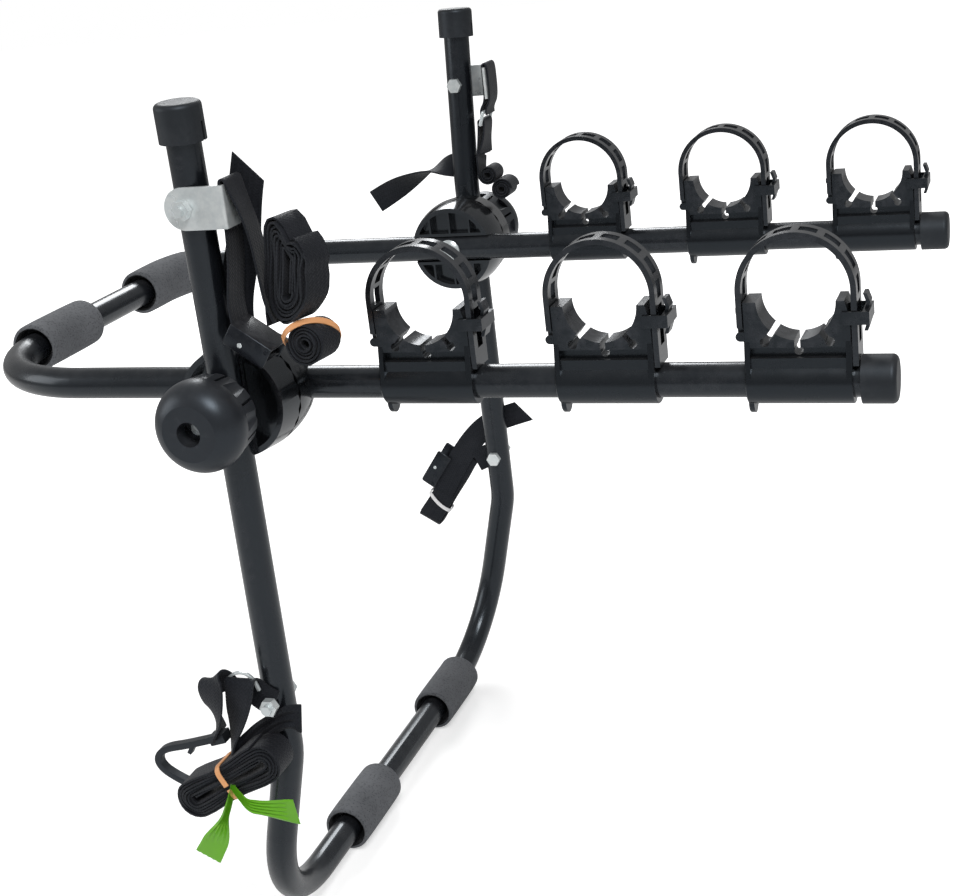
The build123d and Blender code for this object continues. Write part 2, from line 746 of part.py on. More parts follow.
def wound(half_count, run=0.0, lead=0.0, width=web_w, thick=web_t):
    """Webbing wound into a bundle or a roll, as one unbroken strip."""
    path = wound_path(half_count, run, lead)
    section = Plane(origin=path @ 0, x_dir=(0, 0, 1), z_dir=path % 0) * Rectangle(width, thick)
    return sweep(section, path=path)


def upright(place, middle_y, lean=0.0):
    """Location of a flat piece that stands in the X and Z plane and leans towards X."""
    plane = Plane(origin=(place[0], middle_y, place[1]), x_dir=(1, 0, 0), z_dir=(0, -1, 0))
    return plane.location * Rot(0, 0, -lean)


def turned_flat(place, middle_y, lean):
    """Location of a bundle whose layers lie one over the other along Y."""
    return upright(place, middle_y, lean) * Rot(0, 90, 0)


def buckle(place, middle_y, cuts):
    """Cam buckle body: a block with a bay for its lever and slots for the webbing."""
    wide = web_w + 2 * (soft_fit + buckle_wall)
    body = Box(buckle_length, buckle_t, wide)
    bay = Box(buckle_length * lever_share, 2 * (lever_pin_d + lever_t / 2 + run_fit), web_w)
    body -= Pos(0, buckle_t / 2, 0) * bay
    body += lever_pin(wide)
    body = upright(place, middle_y, place[2]) * body
    for cut in cuts:
        body -= cut
    return body


def lever_pin(length, grow=0.0):
    """Pin of a buckle's lever, in the buckle's own place."""
    at = Pos(buckle_length * (lever_share - 0.5) / 2, buckle_t / 2 - lever_pin_d / 2, 0)
    return at * Cylinder(lever_pin_d / 2 + grow, length)


def lever(place, middle_y):
    """Lever over the bay of a buckle, with an eye round its pin."""
    wide = web_w - 4 * run_fit
    x = buckle_length * (lever_share - 0.5) / 2
    y = buckle_t / 2 - lever_pin_d / 2
    eye = Pos(x, y, 0) * Cylinder(lever_pin_d / 2 + lever_t / 2, wide)
    flat = (-buckle_length * lever_share / 2 + run_fit, x)
    plate = Pos((flat[0] + flat[1]) / 2, y, 0) * Box(flat[1] - flat[0], lever_t, wide)
    return upright(place, middle_y, place[2]) * (eye + plate - lever_pin(web_w, thread_fit))


def wall_loop():
    """Route up inside the bracket's wall, over it and down its outside."""
    inner = upper_x + bracket_reach - bracket_t - soft_fit - web_t / 2
    outer = upper_x + bracket_reach + soft_fit + web_t / 2
    top = upper_anchor_z + bracket_h / 2 + soft_fit + web_t + run_fit * 2
    low = upper_anchor_z - bracket_h / 2 - web_t
    return ((inner, low), (inner, top), (outer, top), (outer, low))


def left_upper_strap():
    """Loop through the bracket, tail, bundle, roll, band, buckle and lever of the left upper strap."""
    loop = left_loop_route[:2] + wall_loop() + left_loop_route[2:]
    bundle = (left_bundle_half_count, left_bundle_run, left_bundle_lead)
    at = upright(left_bundle_foot, -upper_web_y, left_bundle_lean) * Rot(0, 180, 0)
    reach = wound_r(left_bundle_half_count) + wound_r(left_roll_half_count) + soft_fit + web_gap
    drop = sqrt(reach**2 - left_roll_lean**2)
    roll_at = (left_bundle_foot[0] + left_roll_lean, left_bundle_foot[1] - drop)
    slots = [strip(loop, -upper_web_y, web_w + 2 * soft_fit, web_t + 2 * soft_fit),
             at * wound(*bundle, web_w + 2 * soft_fit, web_t + 2 * soft_fit)]
    roll_r = wound_r(left_roll_half_count) + soft_fit
    band = round_y(roll_r + band_t, -band_w / 2, band_w / 2) - round_y(roll_r, -band_w, band_w)
    return {"left_upper_web": strip(loop, -upper_web_y),
            "left_upper_tail": sheet(left_tail_outline, -upper_web_y, web_t),
            "left_upper_bundle": at * wound(*bundle),
            "left_upper_roll": upright(roll_at, -upper_web_y, 180) * wound(left_roll_half_count),
            "left_upper_band": Pos(roll_at[0], -upper_web_y, roll_at[1]) * band,
            "left_upper_buckle": buckle(left_buckle_place, -upper_web_y, slots),
            "left_upper_lever": lever(left_buckle_place, -upper_web_y)}


def ring():
    """Steel ring of the right upper strap, in the plane through its two bars."""
    r = ring_wire_d / 2
    bars = [Vector(x, 0, z) for x, z in (ring_top, ring_low)]
    half = Vector(0, ring_w / 2, 0)
    corners = [bars[0] + half, bars[1] + half, bars[1] - half, bars[0] - half]
    wire = None
    for a, b in zip(corners, corners[1:] + corners[:1]):
        rod = Plane(origin=(a + b) * 0.5, z_dir=b - a).location * Cylinder(r, (b - a).length)
        rod += Pos(a) * Sphere(r)
        wire = rod if wire is None else wire + rod
    return Pos(0, upper_web_y, 0) * wire


def right_upper_strap():
    """Loop through the bracket, ring, second loop, two rolls and tail of the right upper strap."""
    near = ring_wire_d / 2 + soft_fit + web_t / 2
    first = ((ring_top[0] - near, ring_top[1] - near), (ring_top[0] - near, ring_top[1] + near))
    last = ((ring_top[0] + near, ring_top[1] + near), (ring_top[0] + near, ring_top[1] - near))
    side = near + web_gap / 4
    top = ring_low[1] + side + web_t
    low = ring_low[1] - right_strap_drop
    x = ring_low[0]
    second = ((x - side - 2 * web_t, low), (x - side, ring_low[1]), (x - side, top), (x + side, top),
              (x + side, ring_low[1]), (x - web_t / 4, low))
    nodes = {"right_upper_web": strip(first + wall_loop() + last, upper_web_y),
             "right_upper_ring": ring(),
             "right_upper_strap": strip(second, upper_web_y)}
    rolls = []
    for place, half_count, lead in zip(right_roll_places, right_roll_half_count, (right_roll_lead, 0.0)):
        rolls.append(upright(place, upper_web_y) * wound(half_count, 0.0, lead))
    nodes["right_upper_rolls"] = Compound(children=rolls)
    tail_y = upper_web_y + web_w / 2 + soft_fit
    nodes["right_upper_tail"] = sheet(right_tail_outline, tail_y, web_t)
    return nodes


def lug(end):
    """Flat webbing lug on a lower bolt, from the bolt to an end given in X and Z."""
    start = Vector(0, 0, lower_anchor_z)
    along = Vector(end[0], 0, end[1]) - start
    plane = Plane(origin=(0, lower_face_y, lower_anchor_z), x_dir=along.normalized(), z_dir=(0, 1, 0))
    flat = Circle(lug_r) + Pos(along.length / 2, 0) * Rectangle(along.length, 2 * lug_r)
    return extrude(plane * (flat - Circle(anchor_bolt_d / 2 + run_fit)), lug_t)


def left_lower_strap():
    """Lobe on the bolt, bundle, band, hook and two ribbons of the left lower strap."""
    bundle = (low_bundle_half_count, low_bundle_run, 0.0)
    bundle_y = lower_web_y + low_bundle_stand
    at = upright(low_bundle_foot, -bundle_y, low_bundle_lean)
    half = wound_r(low_bundle_half_count) + soft_fit
    span = web_w / 2 + soft_fit
    band = Box(2 * (half + band_t), band_w, 2 * (span + band_t)) - Box(2 * half, 2 * band_w, 2 * span)
    band = at * Pos(0, low_bundle_run * low_band_share, 0) * band
    lobe = left_of(lug(low_lobe_route[1])) + strip(low_lobe_route, -lower_web_y)
    flap_y = lower_face_y + lug_t + soft_fit
    flap = sheet(low_flap_outline, -flap_y, -web_t)
    nodes = {"left_lower_web": Compound(children=[lobe, flap]), "left_lower_bundle": at * wound(*bundle),
             "left_lower_band": band,
             "left_lower_hook": strip(hook_route, -lower_web_y, trunk_hook_w, trunk_hook_t)}
    face = bundle_y + span + band_t
    ribbons = []
    for i, outline in enumerate(ribbon_outlines):
        spots = [(ribbon_knot[0] + x, ribbon_knot[1] + z) for x, z in outline]
        ribbons.append(sheet(spots, -face - i * (ribbon_t + soft_fit), -ribbon_t))
    nodes["ribbons"] = Compound(children=ribbons)
    return nodes


def right_lower_strap():
    """Flat webbing on the bolt, bundle, band, buckle and lever of the right lower strap."""
    layer_y = lower_face_y + lug_t + 2 * soft_fit
    middle = layer_y + wound_r(far_bundle_half_count)
    at = turned_flat(far_bundle_foot, middle, far_bundle_lean)
    half = wound_r(far_bundle_half_count) + soft_fit
    span = web_w / 2 + soft_fit
    band = Box(2 * (half + band_t), band_w, 2 * (span + band_t)) - Box(2 * half, 2 * band_w, 2 * span)
    band = at * Pos(0, far_bundle_run * far_band_share, 0) * band
    web = sheet(far_web_outline, lower_face_y, lug_t) + lug(far_web_outline[2])
    web -= round_y(anchor_bolt_d / 2 + run_fit, 0, 2 * leg_half_span, 0, lower_anchor_z)
    return {"right_lower_web": web, "right_lower_bundle": at * wound(far_bundle_half_count, far_bundle_run),
            "right_lower_band": band, "right_lower_buckle": buckle(far_buckle_place, lower_web_y, []),
            "right_lower_lever": lever(far_buckle_place, lower_web_y)}


def cradles():
    """Three cradles on each arm, each with its ladder strap."""
    body, strap = cradle_body(), ladder_strap()
    nodes = {}
    for side, name in ((-1, "left"), (1, "right")):
        for i in range(cradle_count):
            at = Pos(cradle_first_x + i * cradle_pitch, side * arm_half_span, 0)
            nodes[f"{name}_cradle_{i + 1}"] = at * body
            nodes[f"{name}_ladder_strap_{i + 1}"] = at * strap
    return nodes


def pads():
    """Two foam pads on each cross tube."""
    leg_bar = (leg_bar_straight, leg_corner_r, Vector(leg_low.X, 0, leg_low.Z), shin_dir * -1)
    arm_bar = (arm_bar_straight, arm_corner_r, Vector(-arm_front, 0, 0), Vector(1, 0, 0))
    return {"left_leg_pad": foam_pad(pad_path(left_leg_pad_start, *leg_bar, -1)),
            "right_leg_pad": foam_pad(pad_path(leg_bar_straight - right_leg_pad_lead, *leg_bar, 1)),
            "left_arm_pad": foam_pad(pad_path(left_arm_pad_start, *arm_bar, -1)),
            "right_arm_pad": foam_pad(pad_path(arm_bar_straight - right_arm_pad_lead, *arm_bar, 1))}


def both_sides():
    """Pieces that are alike on both sides."""
    rights = {"inner_disc": inner_disc(), "outer_disc": outer_disc(), "hub_bolt": hub_bolt(),
              "washer": hub_washer(), "knob": knob(), "knob_nut": knob_nut(),
              "upper_bracket": upper_bracket()}
    nodes = {}
    for name, part in rights.items():
        nodes["right_" + name] = part
        nodes["left_" + name] = left_of(part)
    legs, arms = leg_path(), arm_path()
    pairs = {"leg_caps": end_cap(leg_cap_length, legs @ 0, (legs % 0) * -1),
             "arm_caps": end_cap(arm_cap_length, arms @ 0, (arms % 0) * -1),
             "saddle_spacers": saddle_spacer()}
    for name, part in pairs.items():
        nodes[name] = Compound(children=[part, left_of(part)])
    return nodes


def main():
    os.makedirs("parts", exist_ok=True)
    nodes = {"leg_frame": leg_frame(), "arm_frame": arm_frame(),
             "anchor_bolts": anchor_bolts(), "anchor_nuts": anchor_nuts()}
    for group in (both_sides(), pads(), cradles(), left_upper_strap(), right_upper_strap(),
                  left_lower_strap(), right_lower_strap()):
        nodes.update(group)
    for name, part in nodes.items():
        export_step(part, f"parts/{name}.step")
    windings = {"left_upper_bundle": (left_bundle_half_count, left_bundle_run, left_bundle_lead),
                "left_upper_roll": (left_roll_half_count, 0.0, 0.0),
                "right_upper_rolls": (max(right_roll_half_count), 0.0, right_roll_lead),
                "left_lower_bundle": (low_bundle_half_count, low_bundle_run, 0.0),
                "right_lower_bundle": (far_bundle_half_count, far_bundle_run, 0.0)}
    for name, sizes in windings.items():
        print(name, "least gap between turns, mm:", round(wound_gap(*sizes), 3))
    print(len(nodes), "nodes")


main()
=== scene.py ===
import json
import logging
from dataclasses import dataclass, field
from enum import Enum
from math import cos, exp, pi, radians, sin

import bmesh
import bpy
from mathutils import Matrix, Vector


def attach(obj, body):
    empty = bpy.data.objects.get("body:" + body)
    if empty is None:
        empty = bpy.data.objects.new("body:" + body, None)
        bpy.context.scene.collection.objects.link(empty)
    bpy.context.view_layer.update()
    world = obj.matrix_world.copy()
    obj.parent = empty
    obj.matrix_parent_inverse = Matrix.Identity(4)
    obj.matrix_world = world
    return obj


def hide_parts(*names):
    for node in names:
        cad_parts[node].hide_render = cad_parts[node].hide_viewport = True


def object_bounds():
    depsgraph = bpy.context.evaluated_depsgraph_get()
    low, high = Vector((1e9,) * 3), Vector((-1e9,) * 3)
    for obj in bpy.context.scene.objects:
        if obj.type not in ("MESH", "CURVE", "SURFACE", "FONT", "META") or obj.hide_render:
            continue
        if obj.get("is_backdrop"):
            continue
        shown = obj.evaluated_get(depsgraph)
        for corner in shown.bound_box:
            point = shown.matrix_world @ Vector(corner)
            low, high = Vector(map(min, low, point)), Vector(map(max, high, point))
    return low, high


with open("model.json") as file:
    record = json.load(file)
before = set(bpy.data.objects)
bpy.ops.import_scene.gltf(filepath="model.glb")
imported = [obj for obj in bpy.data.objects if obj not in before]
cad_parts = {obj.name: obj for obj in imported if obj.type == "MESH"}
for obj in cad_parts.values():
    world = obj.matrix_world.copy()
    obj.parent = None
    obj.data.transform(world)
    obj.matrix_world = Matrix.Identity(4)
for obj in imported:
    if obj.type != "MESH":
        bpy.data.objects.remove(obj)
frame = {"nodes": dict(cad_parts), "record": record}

log = logging.getLogger("rack")
logging.basicConfig(level=logging.INFO, format="%(message)s")

MM = 0.001
WEB = 25.0
Point = tuple[float, float]
Rgb = tuple[float, float, float]


def mm(x: float, y: float, z: float) -> Vector:
    """Point given in millimetres."""
    return Vector((x, y, z)) * MM


# Shader groups


class Group(Enum):
    """Effects that several finishes share."""

    GRAIN = "fine_grain"
    WEAVE = "webbing_weave"
    WEAR_AND_HIGHLIGHT = "rubbed_and_lit_edges"
    DUST = "settled_dust"


def new_group(kind: Group, inputs: dict[str, float], outputs: tuple[str, ...]) -> bpy.types.NodeTree:
    """Makes an empty shader group from its inputs' default values and its outputs' names."""
    tree = bpy.data.node_groups.new(kind.value, "ShaderNodeTree")
    for name, value in inputs.items():
        socket = tree.interface.new_socket(name=name, in_out="INPUT", socket_type="NodeSocketFloat")
        socket.default_value = value
    for name in outputs:
        tree.interface.new_socket(name=name, in_out="OUTPUT", socket_type="NodeSocketFloat")
    tree.nodes.new("NodeGroupInput")
    tree.nodes.new("NodeGroupOutput")
    return tree


@dataclass
class Wiring:
    """Short calls for placing and linking nodes in one tree."""

    tree: bpy.types.NodeTree

    def add(self, kind: str, **settings: object) -> bpy.types.Node:
        """Adds a node and sets its properties."""
        node = self.tree.nodes.new(kind)
        for name, value in settings.items():
            setattr(node, name, value)
        return node

    def join(self, source: bpy.types.NodeSocket, target: bpy.types.NodeSocket) -> None:
        """Links one socket to another."""
        self.tree.links.new(source, target)

    def feed(self, value: object, target: bpy.types.NodeSocket) -> None:
        """Links a socket to the target, or writes a plain value there."""
        if isinstance(value, bpy.types.NodeSocket):
            self.join(value, target)
        else:
            target.default_value = value

    def math(self, kind: str, a: object, b: object = 0.0, clamp: bool = False) -> bpy.types.NodeSocket:
        """Adds a Math node and gives its result."""
        node = self.add("ShaderNodeMath", operation=kind, use_clamp=clamp)
        self.feed(a, node.inputs[0])
        self.feed(b, node.inputs[1])
        return node.outputs[0]

    def noise(self, vector: object, scale: object, detail: float = 3.0, rough: float = 0.55) -> bpy.types.NodeSocket:
        """Adds a noise texture and gives its value."""
        node = self.add("ShaderNodeTexNoise")
        self.join(vector, node.inputs["Vector"])
        self.feed(scale, node.inputs["Scale"])
        node.inputs["Detail"].default_value = detail
        node.inputs["Roughness"].default_value = rough
        return node.outputs[0]

    def ramp(self, value: object, low: float, high: float, a: float = 0.0, b: float = 1.0) -> bpy.types.NodeSocket:
        """Maps a value between two limits to another pair, clamped."""
        node = self.add("ShaderNodeMapRange", clamp=True)
        self.feed(value, node.inputs["Value"])
        for name, number in (("From Min", low), ("From Max", high), ("To Min", a), ("To Max", b)):
            node.inputs[name].default_value = number
        return node.outputs[0]

    def mix(self, share: object, a: object, b: object) -> bpy.types.NodeSocket:
        """Mixes two colours."""
        node = self.add("ShaderNodeMix", data_type="RGBA")
        self.feed(share, node.inputs["Factor"])
        self.feed(a, node.inputs[6])
        self.feed(b, node.inputs[7])
        return node.outputs[2]


def grain_group() -> bpy.types.NodeTree:
    """Fine surface grain: a height and a slow blotch of tone."""
    tree = new_group(Group.GRAIN, {"Scale": 900.0, "Blotch": 14.0}, ("Height", "Tone"))
    wire = Wiring(tree)
    entry, leave = tree.nodes["Group Input"], tree.nodes["Group Output"]
    place = wire.add("ShaderNodeTexCoord").outputs["Object"]
    wire.join(wire.noise(place, entry.outputs["Scale"], 2.0), leave.inputs["Height"])
    wire.join(wire.noise(place, entry.outputs["Blotch"], 4.0, 0.6), leave.inputs["Tone"])
    return tree


def wear_and_highlight_group() -> bpy.types.NodeTree:
    """Mask of convex edges, broken up by noise, for rubbed wear and for painted edge highlights."""
    tree = new_group(Group.WEAR_AND_HIGHLIGHT, {"Low": 0.56, "High": 0.66, "Break": 180.0}, ("Mask",))
    wire = Wiring(tree)
    entry, leave = tree.nodes["Group Input"], tree.nodes["Group Output"]
    edge = wire.add("ShaderNodeNewGeometry").outputs["Pointiness"]
    place = wire.add("ShaderNodeTexCoord").outputs["Object"]
    over = wire.math("SUBTRACT", edge, entry.outputs["Low"])
    span = wire.math("SUBTRACT", entry.outputs["High"], entry.outputs["Low"])
    mask = wire.math("DIVIDE", over, span, clamp=True)
    rough = wire.ramp(wire.noise(place, entry.outputs["Break"]), 0.35, 0.65)
    wire.join(wire.math("MULTIPLY", mask, rough), leave.inputs["Mask"])
    return tree


def dust_group() -> bpy.types.NodeTree:
    """Mask of dust on surfaces that face up."""
    tree = new_group(Group.DUST, {"Amount": 0.2, "Scale": 60.0}, ("Mask",))
    wire = Wiring(tree)
    entry, leave = tree.nodes["Group Input"], tree.nodes["Group Output"]
    split = wire.add("ShaderNodeSeparateXYZ")
    wire.join(wire.add("ShaderNodeNewGeometry").outputs["Normal"], split.inputs[0])
    up = wire.ramp(split.outputs["Z"], 0.2, 1.0)
    place = wire.add("ShaderNodeTexCoord").outputs["Object"]
    cloud = wire.ramp(wire.noise(place, entry.outputs["Scale"], 5.0, 0.65), 0.3, 0.75)
    wire.join(wire.math("MULTIPLY", wire.math("MULTIPLY", up, cloud), entry.outputs["Amount"]), leave.inputs["Mask"])
    return tree


def weave_group() -> bpy.types.NodeTree:
    """Webbing weave from the piece's own map: ribs across, a twill lean, and a firmer edge."""
    tree = new_group(Group.WEAVE, {"Ribs": 700.0, "Columns": 11.0}, ("Height", "Edge", "Thread"))
    wire = Wiring(tree)
    entry, leave = tree.nodes["Group Input"], tree.nodes["Group Output"]
    split = wire.add("ShaderNodeSeparateXYZ")
    wire.join(wire.add("ShaderNodeTexCoord").outputs["UV"], split.inputs[0])
    across, along = split.outputs["X"], split.outputs["Y"]
    column = wire.math("MULTIPLY", across, entry.outputs["Columns"])
    step = wire.math("PINGPONG", column, 1.0)
    lean = wire.math("ADD", wire.math("MULTIPLY", along, entry.outputs["Ribs"]), wire.math("MULTIPLY", step, 1.6))
    rib = wire.math("PINGPONG", lean, 1.0)
    rounded = wire.math("POWER", wire.math("MULTIPLY", rib, wire.math("ADD", step, 0.6)), 0.6)
    wire.join(rounded, leave.inputs["Height"])
    middle = wire.math("ABSOLUTE", wire.math("SUBTRACT", across, 0.5))
    wire.join(wire.ramp(middle, 0.43, 0.49), leave.inputs["Edge"])
    wire.join(rib, leave.inputs["Thread"])
    return tree


BUILD_GROUP = {Group.GRAIN: grain_group, Group.WEAR_AND_HIGHLIGHT: wear_and_highlight_group, Group.DUST: dust_group, Group.WEAVE: weave_group}


# Finishes

PLAIN: Rgb = (1.0, 1.0, 1.0)
# Specular tint for the black finishes: a painted blue sky colour in their reflections.
BLUE_SKY_REFLECTION_TINT: Rgb = (0.74, 0.87, 1.0)
DUST_TONE = (0.42, 0.42, 0.43, 1.0)
PORE_TONE = (0.02, 0.02, 0.022, 1.0)
MOUTH_DARK_TONE = (0.010, 0.010, 0.011, 1.0)
DARKER, LIGHTER = 0.88, 1.14


def placed(wire: Wiring, kind: Group, **values: float) -> bpy.types.Node:
    """Places a shared group in a material, with values for its inputs."""
    tree = bpy.data.node_groups.get(kind.value) or BUILD_GROUP[kind]()
    node = wire.add("ShaderNodeGroup", node_tree=tree)
    for name, value in values.items():
        node.inputs[name].default_value = value
    return node


@dataclass(frozen=True)
class Finish:
    """One moulded, painted or plated finish."""

    name: str
    colour: Rgb
    worn_and_highlight: Rgb
    rough: float
    rough_swing: float = 0.08
    metallic: float = 0.0
    coat: float = 0.0
    coat_rough: float = 0.2
    sheen: float = 0.0
    specular: float = 0.5
    tint: Rgb = BLUE_SKY_REFLECTION_TINT
    grain: float = 900.0
    bump: float = 0.00003
    edge_wear_and_highlight: float = 0.25
    dust: float = 0.06

    def shader(self) -> tuple[bpy.types.Material, Wiring, bpy.types.Node]:
        """Starts the material with the values that are the same all over."""
        material = bpy.data.materials.new(self.name)
        material.use_nodes = True
        wire = Wiring(material.node_tree)
        shader = material.node_tree.nodes["Principled BSDF"]
        shader.inputs["Metallic"].default_value = self.metallic
        shader.inputs["Coat Weight"].default_value = self.coat
        shader.inputs["Coat Roughness"].default_value = self.coat_rough
        shader.inputs["Sheen Weight"].default_value = self.sheen
        shader.inputs["Specular IOR Level"].default_value = self.specular
        # The tint paints a blue sky's colour into the reflections, while the world light stays white.
        shader.inputs["Specular Tint"].default_value = self.tint + (1.0,)
        return material, wire, shader

    def relief(self, wire: Wiring, height: bpy.types.NodeSocket, shader: bpy.types.Node) -> None:
        """Links a height to the shader's normal."""
        bump = wire.add("ShaderNodeBump")
        bump.inputs["Distance"].default_value = self.bump
        bump.inputs["Strength"].default_value = 1.0
        wire.join(height, bump.inputs["Height"])
        wire.join(bump.outputs[0], shader.inputs["Normal"])

    def make(self) -> bpy.types.Material:
        """Builds a material with grain, tone, a little dust, and convex edges lightened partly as rubbed wear and
        partly as painted edge highlight.
        """
        material, wire, shader = self.shader()
        grain = placed(wire, Group.GRAIN, Scale=self.grain)
        edge_wear_and_highlight = placed(wire, Group.WEAR_AND_HIGHLIGHT)
        dust = placed(wire, Group.DUST, Amount=self.dust)
        dark = tuple(c * DARKER for c in self.colour) + (1.0,)
        light = tuple(min(1.0, c * LIGHTER) for c in self.colour) + (1.0,)
        tone = wire.mix(wire.ramp(grain.outputs["Tone"], 0.3, 0.7), dark, light)
        # Convex edges take the lighter second colour: partly rubbed wear, partly a painted edge highlight.
        edge_wear_and_highlight_share = wire.math("MULTIPLY", edge_wear_and_highlight.outputs["Mask"], self.edge_wear_and_highlight)
        tone = wire.mix(edge_wear_and_highlight_share, tone, self.worn_and_highlight + (1.0,))
        tone = wire.mix(dust.outputs["Mask"], tone, DUST_TONE)
        wire.join(tone, shader.inputs["Base Color"])
        smooth, coarse = self.rough - self.rough_swing, self.rough + self.rough_swing
        rough = wire.ramp(grain.outputs["Tone"], 0.25, 0.75, smooth, coarse)
        rough = wire.math("ADD", rough, wire.math("MULTIPLY", dust.outputs["Mask"], 0.5), clamp=True)
        wire.join(rough, shader.inputs["Roughness"])
        self.relief(wire, grain.outputs["Height"], shader)
        return material


@dataclass(frozen=True)
class Webbing(Finish):
    """Woven nylon webbing."""

    ribs: float = 700.0

    def make(self) -> bpy.types.Material:
        """Builds a woven material that follows the piece's own map."""
        material, wire, shader = self.shader()
        weave = placed(wire, Group.WEAVE, Ribs=self.ribs)
        grain = placed(wire, Group.GRAIN, Scale=self.grain, Blotch=30.0)
        dark = tuple(c * 0.5 for c in self.colour) + (1.0,)
        tone = wire.mix(weave.outputs["Height"], dark, self.colour + (1.0,))
        tone = wire.mix(wire.ramp(grain.outputs["Tone"], 0.45, 0.8, 0.0, 0.5), tone, self.worn_and_highlight + (1.0,))
        wire.join(tone, shader.inputs["Base Color"])
        rough = wire.ramp(weave.outputs["Thread"], 0.0, 1.0, self.rough + 0.15, self.rough)
        wire.join(rough, shader.inputs["Roughness"])
        height = wire.math("ADD", weave.outputs["Height"], wire.math("MULTIPLY", weave.outputs["Edge"], 0.5))
        self.relief(wire, height, shader)
        return material


@dataclass(frozen=True)
class Foam(Finish):
    """Closed cell foam with fine pores."""

    pore: float = 420.0

    def make(self) -> bpy.types.Material:
        """Builds a matte foam with pores and slow shade changes."""
        material, wire, shader = self.shader()
        place = wire.add("ShaderNodeTexCoord").outputs["Object"]
        cells = wire.add("ShaderNodeTexVoronoi")
        wire.join(place, cells.inputs["Vector"])
        cells.inputs["Scale"].default_value = self.pore
        pit = wire.ramp(cells.outputs["Distance"], 0.05, 0.45)
        slow = wire.ramp(wire.noise(place, 22.0, 4.0), 0.3, 0.7)
        tone = wire.mix(slow, self.worn_and_highlight + (1.0,), self.colour + (1.0,))
        tone = wire.mix(wire.math("MULTIPLY", wire.math("SUBTRACT", 1.0, pit), 0.55), tone, PORE_TONE)
        # The recessed mouths and the bore are painted near black.
        mouth_dark = wire.add("ShaderNodeAttribute", attribute_name="core").outputs["Fac"]
        tone = wire.mix(wire.ramp(mouth_dark, 0.4, 0.6), tone, MOUTH_DARK_TONE)
        wire.join(tone, shader.inputs["Base Color"])
        wire.join(wire.ramp(pit, 0.0, 1.0, 0.95, self.rough), shader.inputs["Roughness"])
        lumps = wire.math("MULTIPLY", wire.noise(place, 90.0, 5.0), 1.5)
        self.relief(wire, wire.math("ADD", pit, lumps), shader)
        return material


FINISHES: dict[str, Finish] = {
    "tube": Finish("tube_powder_coat", (0.0065, 0.0075, 0.0095), (0.13, 0.13, 0.14), 0.27, rough_swing=0.04,
                   coat=0.25, coat_rough=0.14, specular=0.45, grain=700.0, bump=0.00004, edge_wear_and_highlight=0.08),
    "cap": Finish("cap_plastic", (0.016, 0.017, 0.019), (0.10, 0.10, 0.11), 0.48, specular=0.4),
    "hub": Finish("hub_plastic", (0.006, 0.0065, 0.0075), (0.09, 0.09, 0.10), 0.17, rough_swing=0.04, coat=0.3,
                  coat_rough=0.08, grain=300.0, bump=0.00002, edge_wear_and_highlight=0.5),
    "knob": Finish("knob_plastic", (0.018, 0.0195, 0.023), (0.12, 0.12, 0.13), 0.36, specular=0.45),
    "cradle": Finish("cradle_plastic", (0.0055, 0.006, 0.007), (0.09, 0.09, 0.10), 0.26, rough_swing=0.04, edge_wear_and_highlight=0.4),
    "ladder": Finish("ladder_rubber", (0.006, 0.0065, 0.008), (0.08, 0.08, 0.09), 0.24, coat=0.2, grain=400.0,
                     rough_swing=0.05),
    # The zinc's near-white edge colour is mostly a painted edge highlight.
    "zinc": Finish("zinc_plate", (0.72, 0.77, 0.78), (0.96, 0.98, 0.97), 0.26, metallic=0.55, grain=420.0,
                   bump=0.00001, edge_wear_and_highlight=0.7, dust=0.02, tint=PLAIN),
    # The buckle's light grey edge colour is partly a painted edge highlight.
    "buckle": Finish("buckle_paint", (0.008, 0.0085, 0.011), (0.3, 0.3, 0.31), 0.24, rough_swing=0.04, specular=0.35,
                     edge_wear_and_highlight=0.6),
    "hook": Finish("hook_rubber", (0.013, 0.014, 0.016), (0.10, 0.10, 0.11), 0.42, rough_swing=0.05),
    "orange_band": Finish("orange_elastic", (0.80, 0.38, 0.16), (0.97, 0.74, 0.54), 0.42, grain=500.0,
                          rough_swing=0.05, tint=PLAIN),
    "white_band": Finish("white_elastic", (0.90, 0.89, 0.91), (0.97, 0.97, 0.97), 0.4, grain=500.0, rough_swing=0.05,
                         tint=PLAIN),
    "ribbon": Finish("green_film", (0.15, 0.45, 0.018), (0.40, 0.76, 0.10), 0.33, rough_swing=0.06, grain=200.0,
                     edge_wear_and_highlight=0.6, dust=0.0, tint=PLAIN),
    "webbing": Webbing("woven_webbing", (0.0085, 0.0085, 0.0115), (0.028, 0.028, 0.034), 0.56, sheen=0.08,
                       specular=0.3, bump=0.00022),
    "foam": Foam("grey_foam", (0.150, 0.155, 0.166), (0.100, 0.104, 0.112), 0.82, sheen=0.08, specular=0.25,
                 bump=0.00045),
}


@dataclass
class Paint:
    """The finishes, made once and given to pieces by the record's slot."""

    made: dict[str, bpy.types.Material] = field(default_factory=dict)

    def of(self, slot: str) -> bpy.types.Material:
        """Material of a slot, made when first asked for."""
        if slot not in self.made:
            self.made[slot] = FINISHES[slot].make()
        return self.made[slot]

    def nodes(self) -> None:
        """Gives every CAD node the material of its slot, and the nuts inside the knobs the dark hub plastic as painted
        shade in the knob holes.
        """
        for row in frame["record"]["subparts"]:
            node = frame["nodes"][row["node"]]
            node.data.materials.clear()
            # The nut deep in each knob gets the black hub plastic: painted shade in the knob's hole.
            knob_hole_shade = row["node"].endswith("knob_nut")
            node.data.materials.append(self.of("hub" if knob_hole_shade else row["material_slot"]))


PAINT = Paint()


def linked(name: str, data: bpy.types.ID) -> bpy.types.Object:
    """Puts data into the scene as an object."""
    item = bpy.data.objects.new(name, data)
    bpy.context.scene.collection.objects.link(item)
    return item


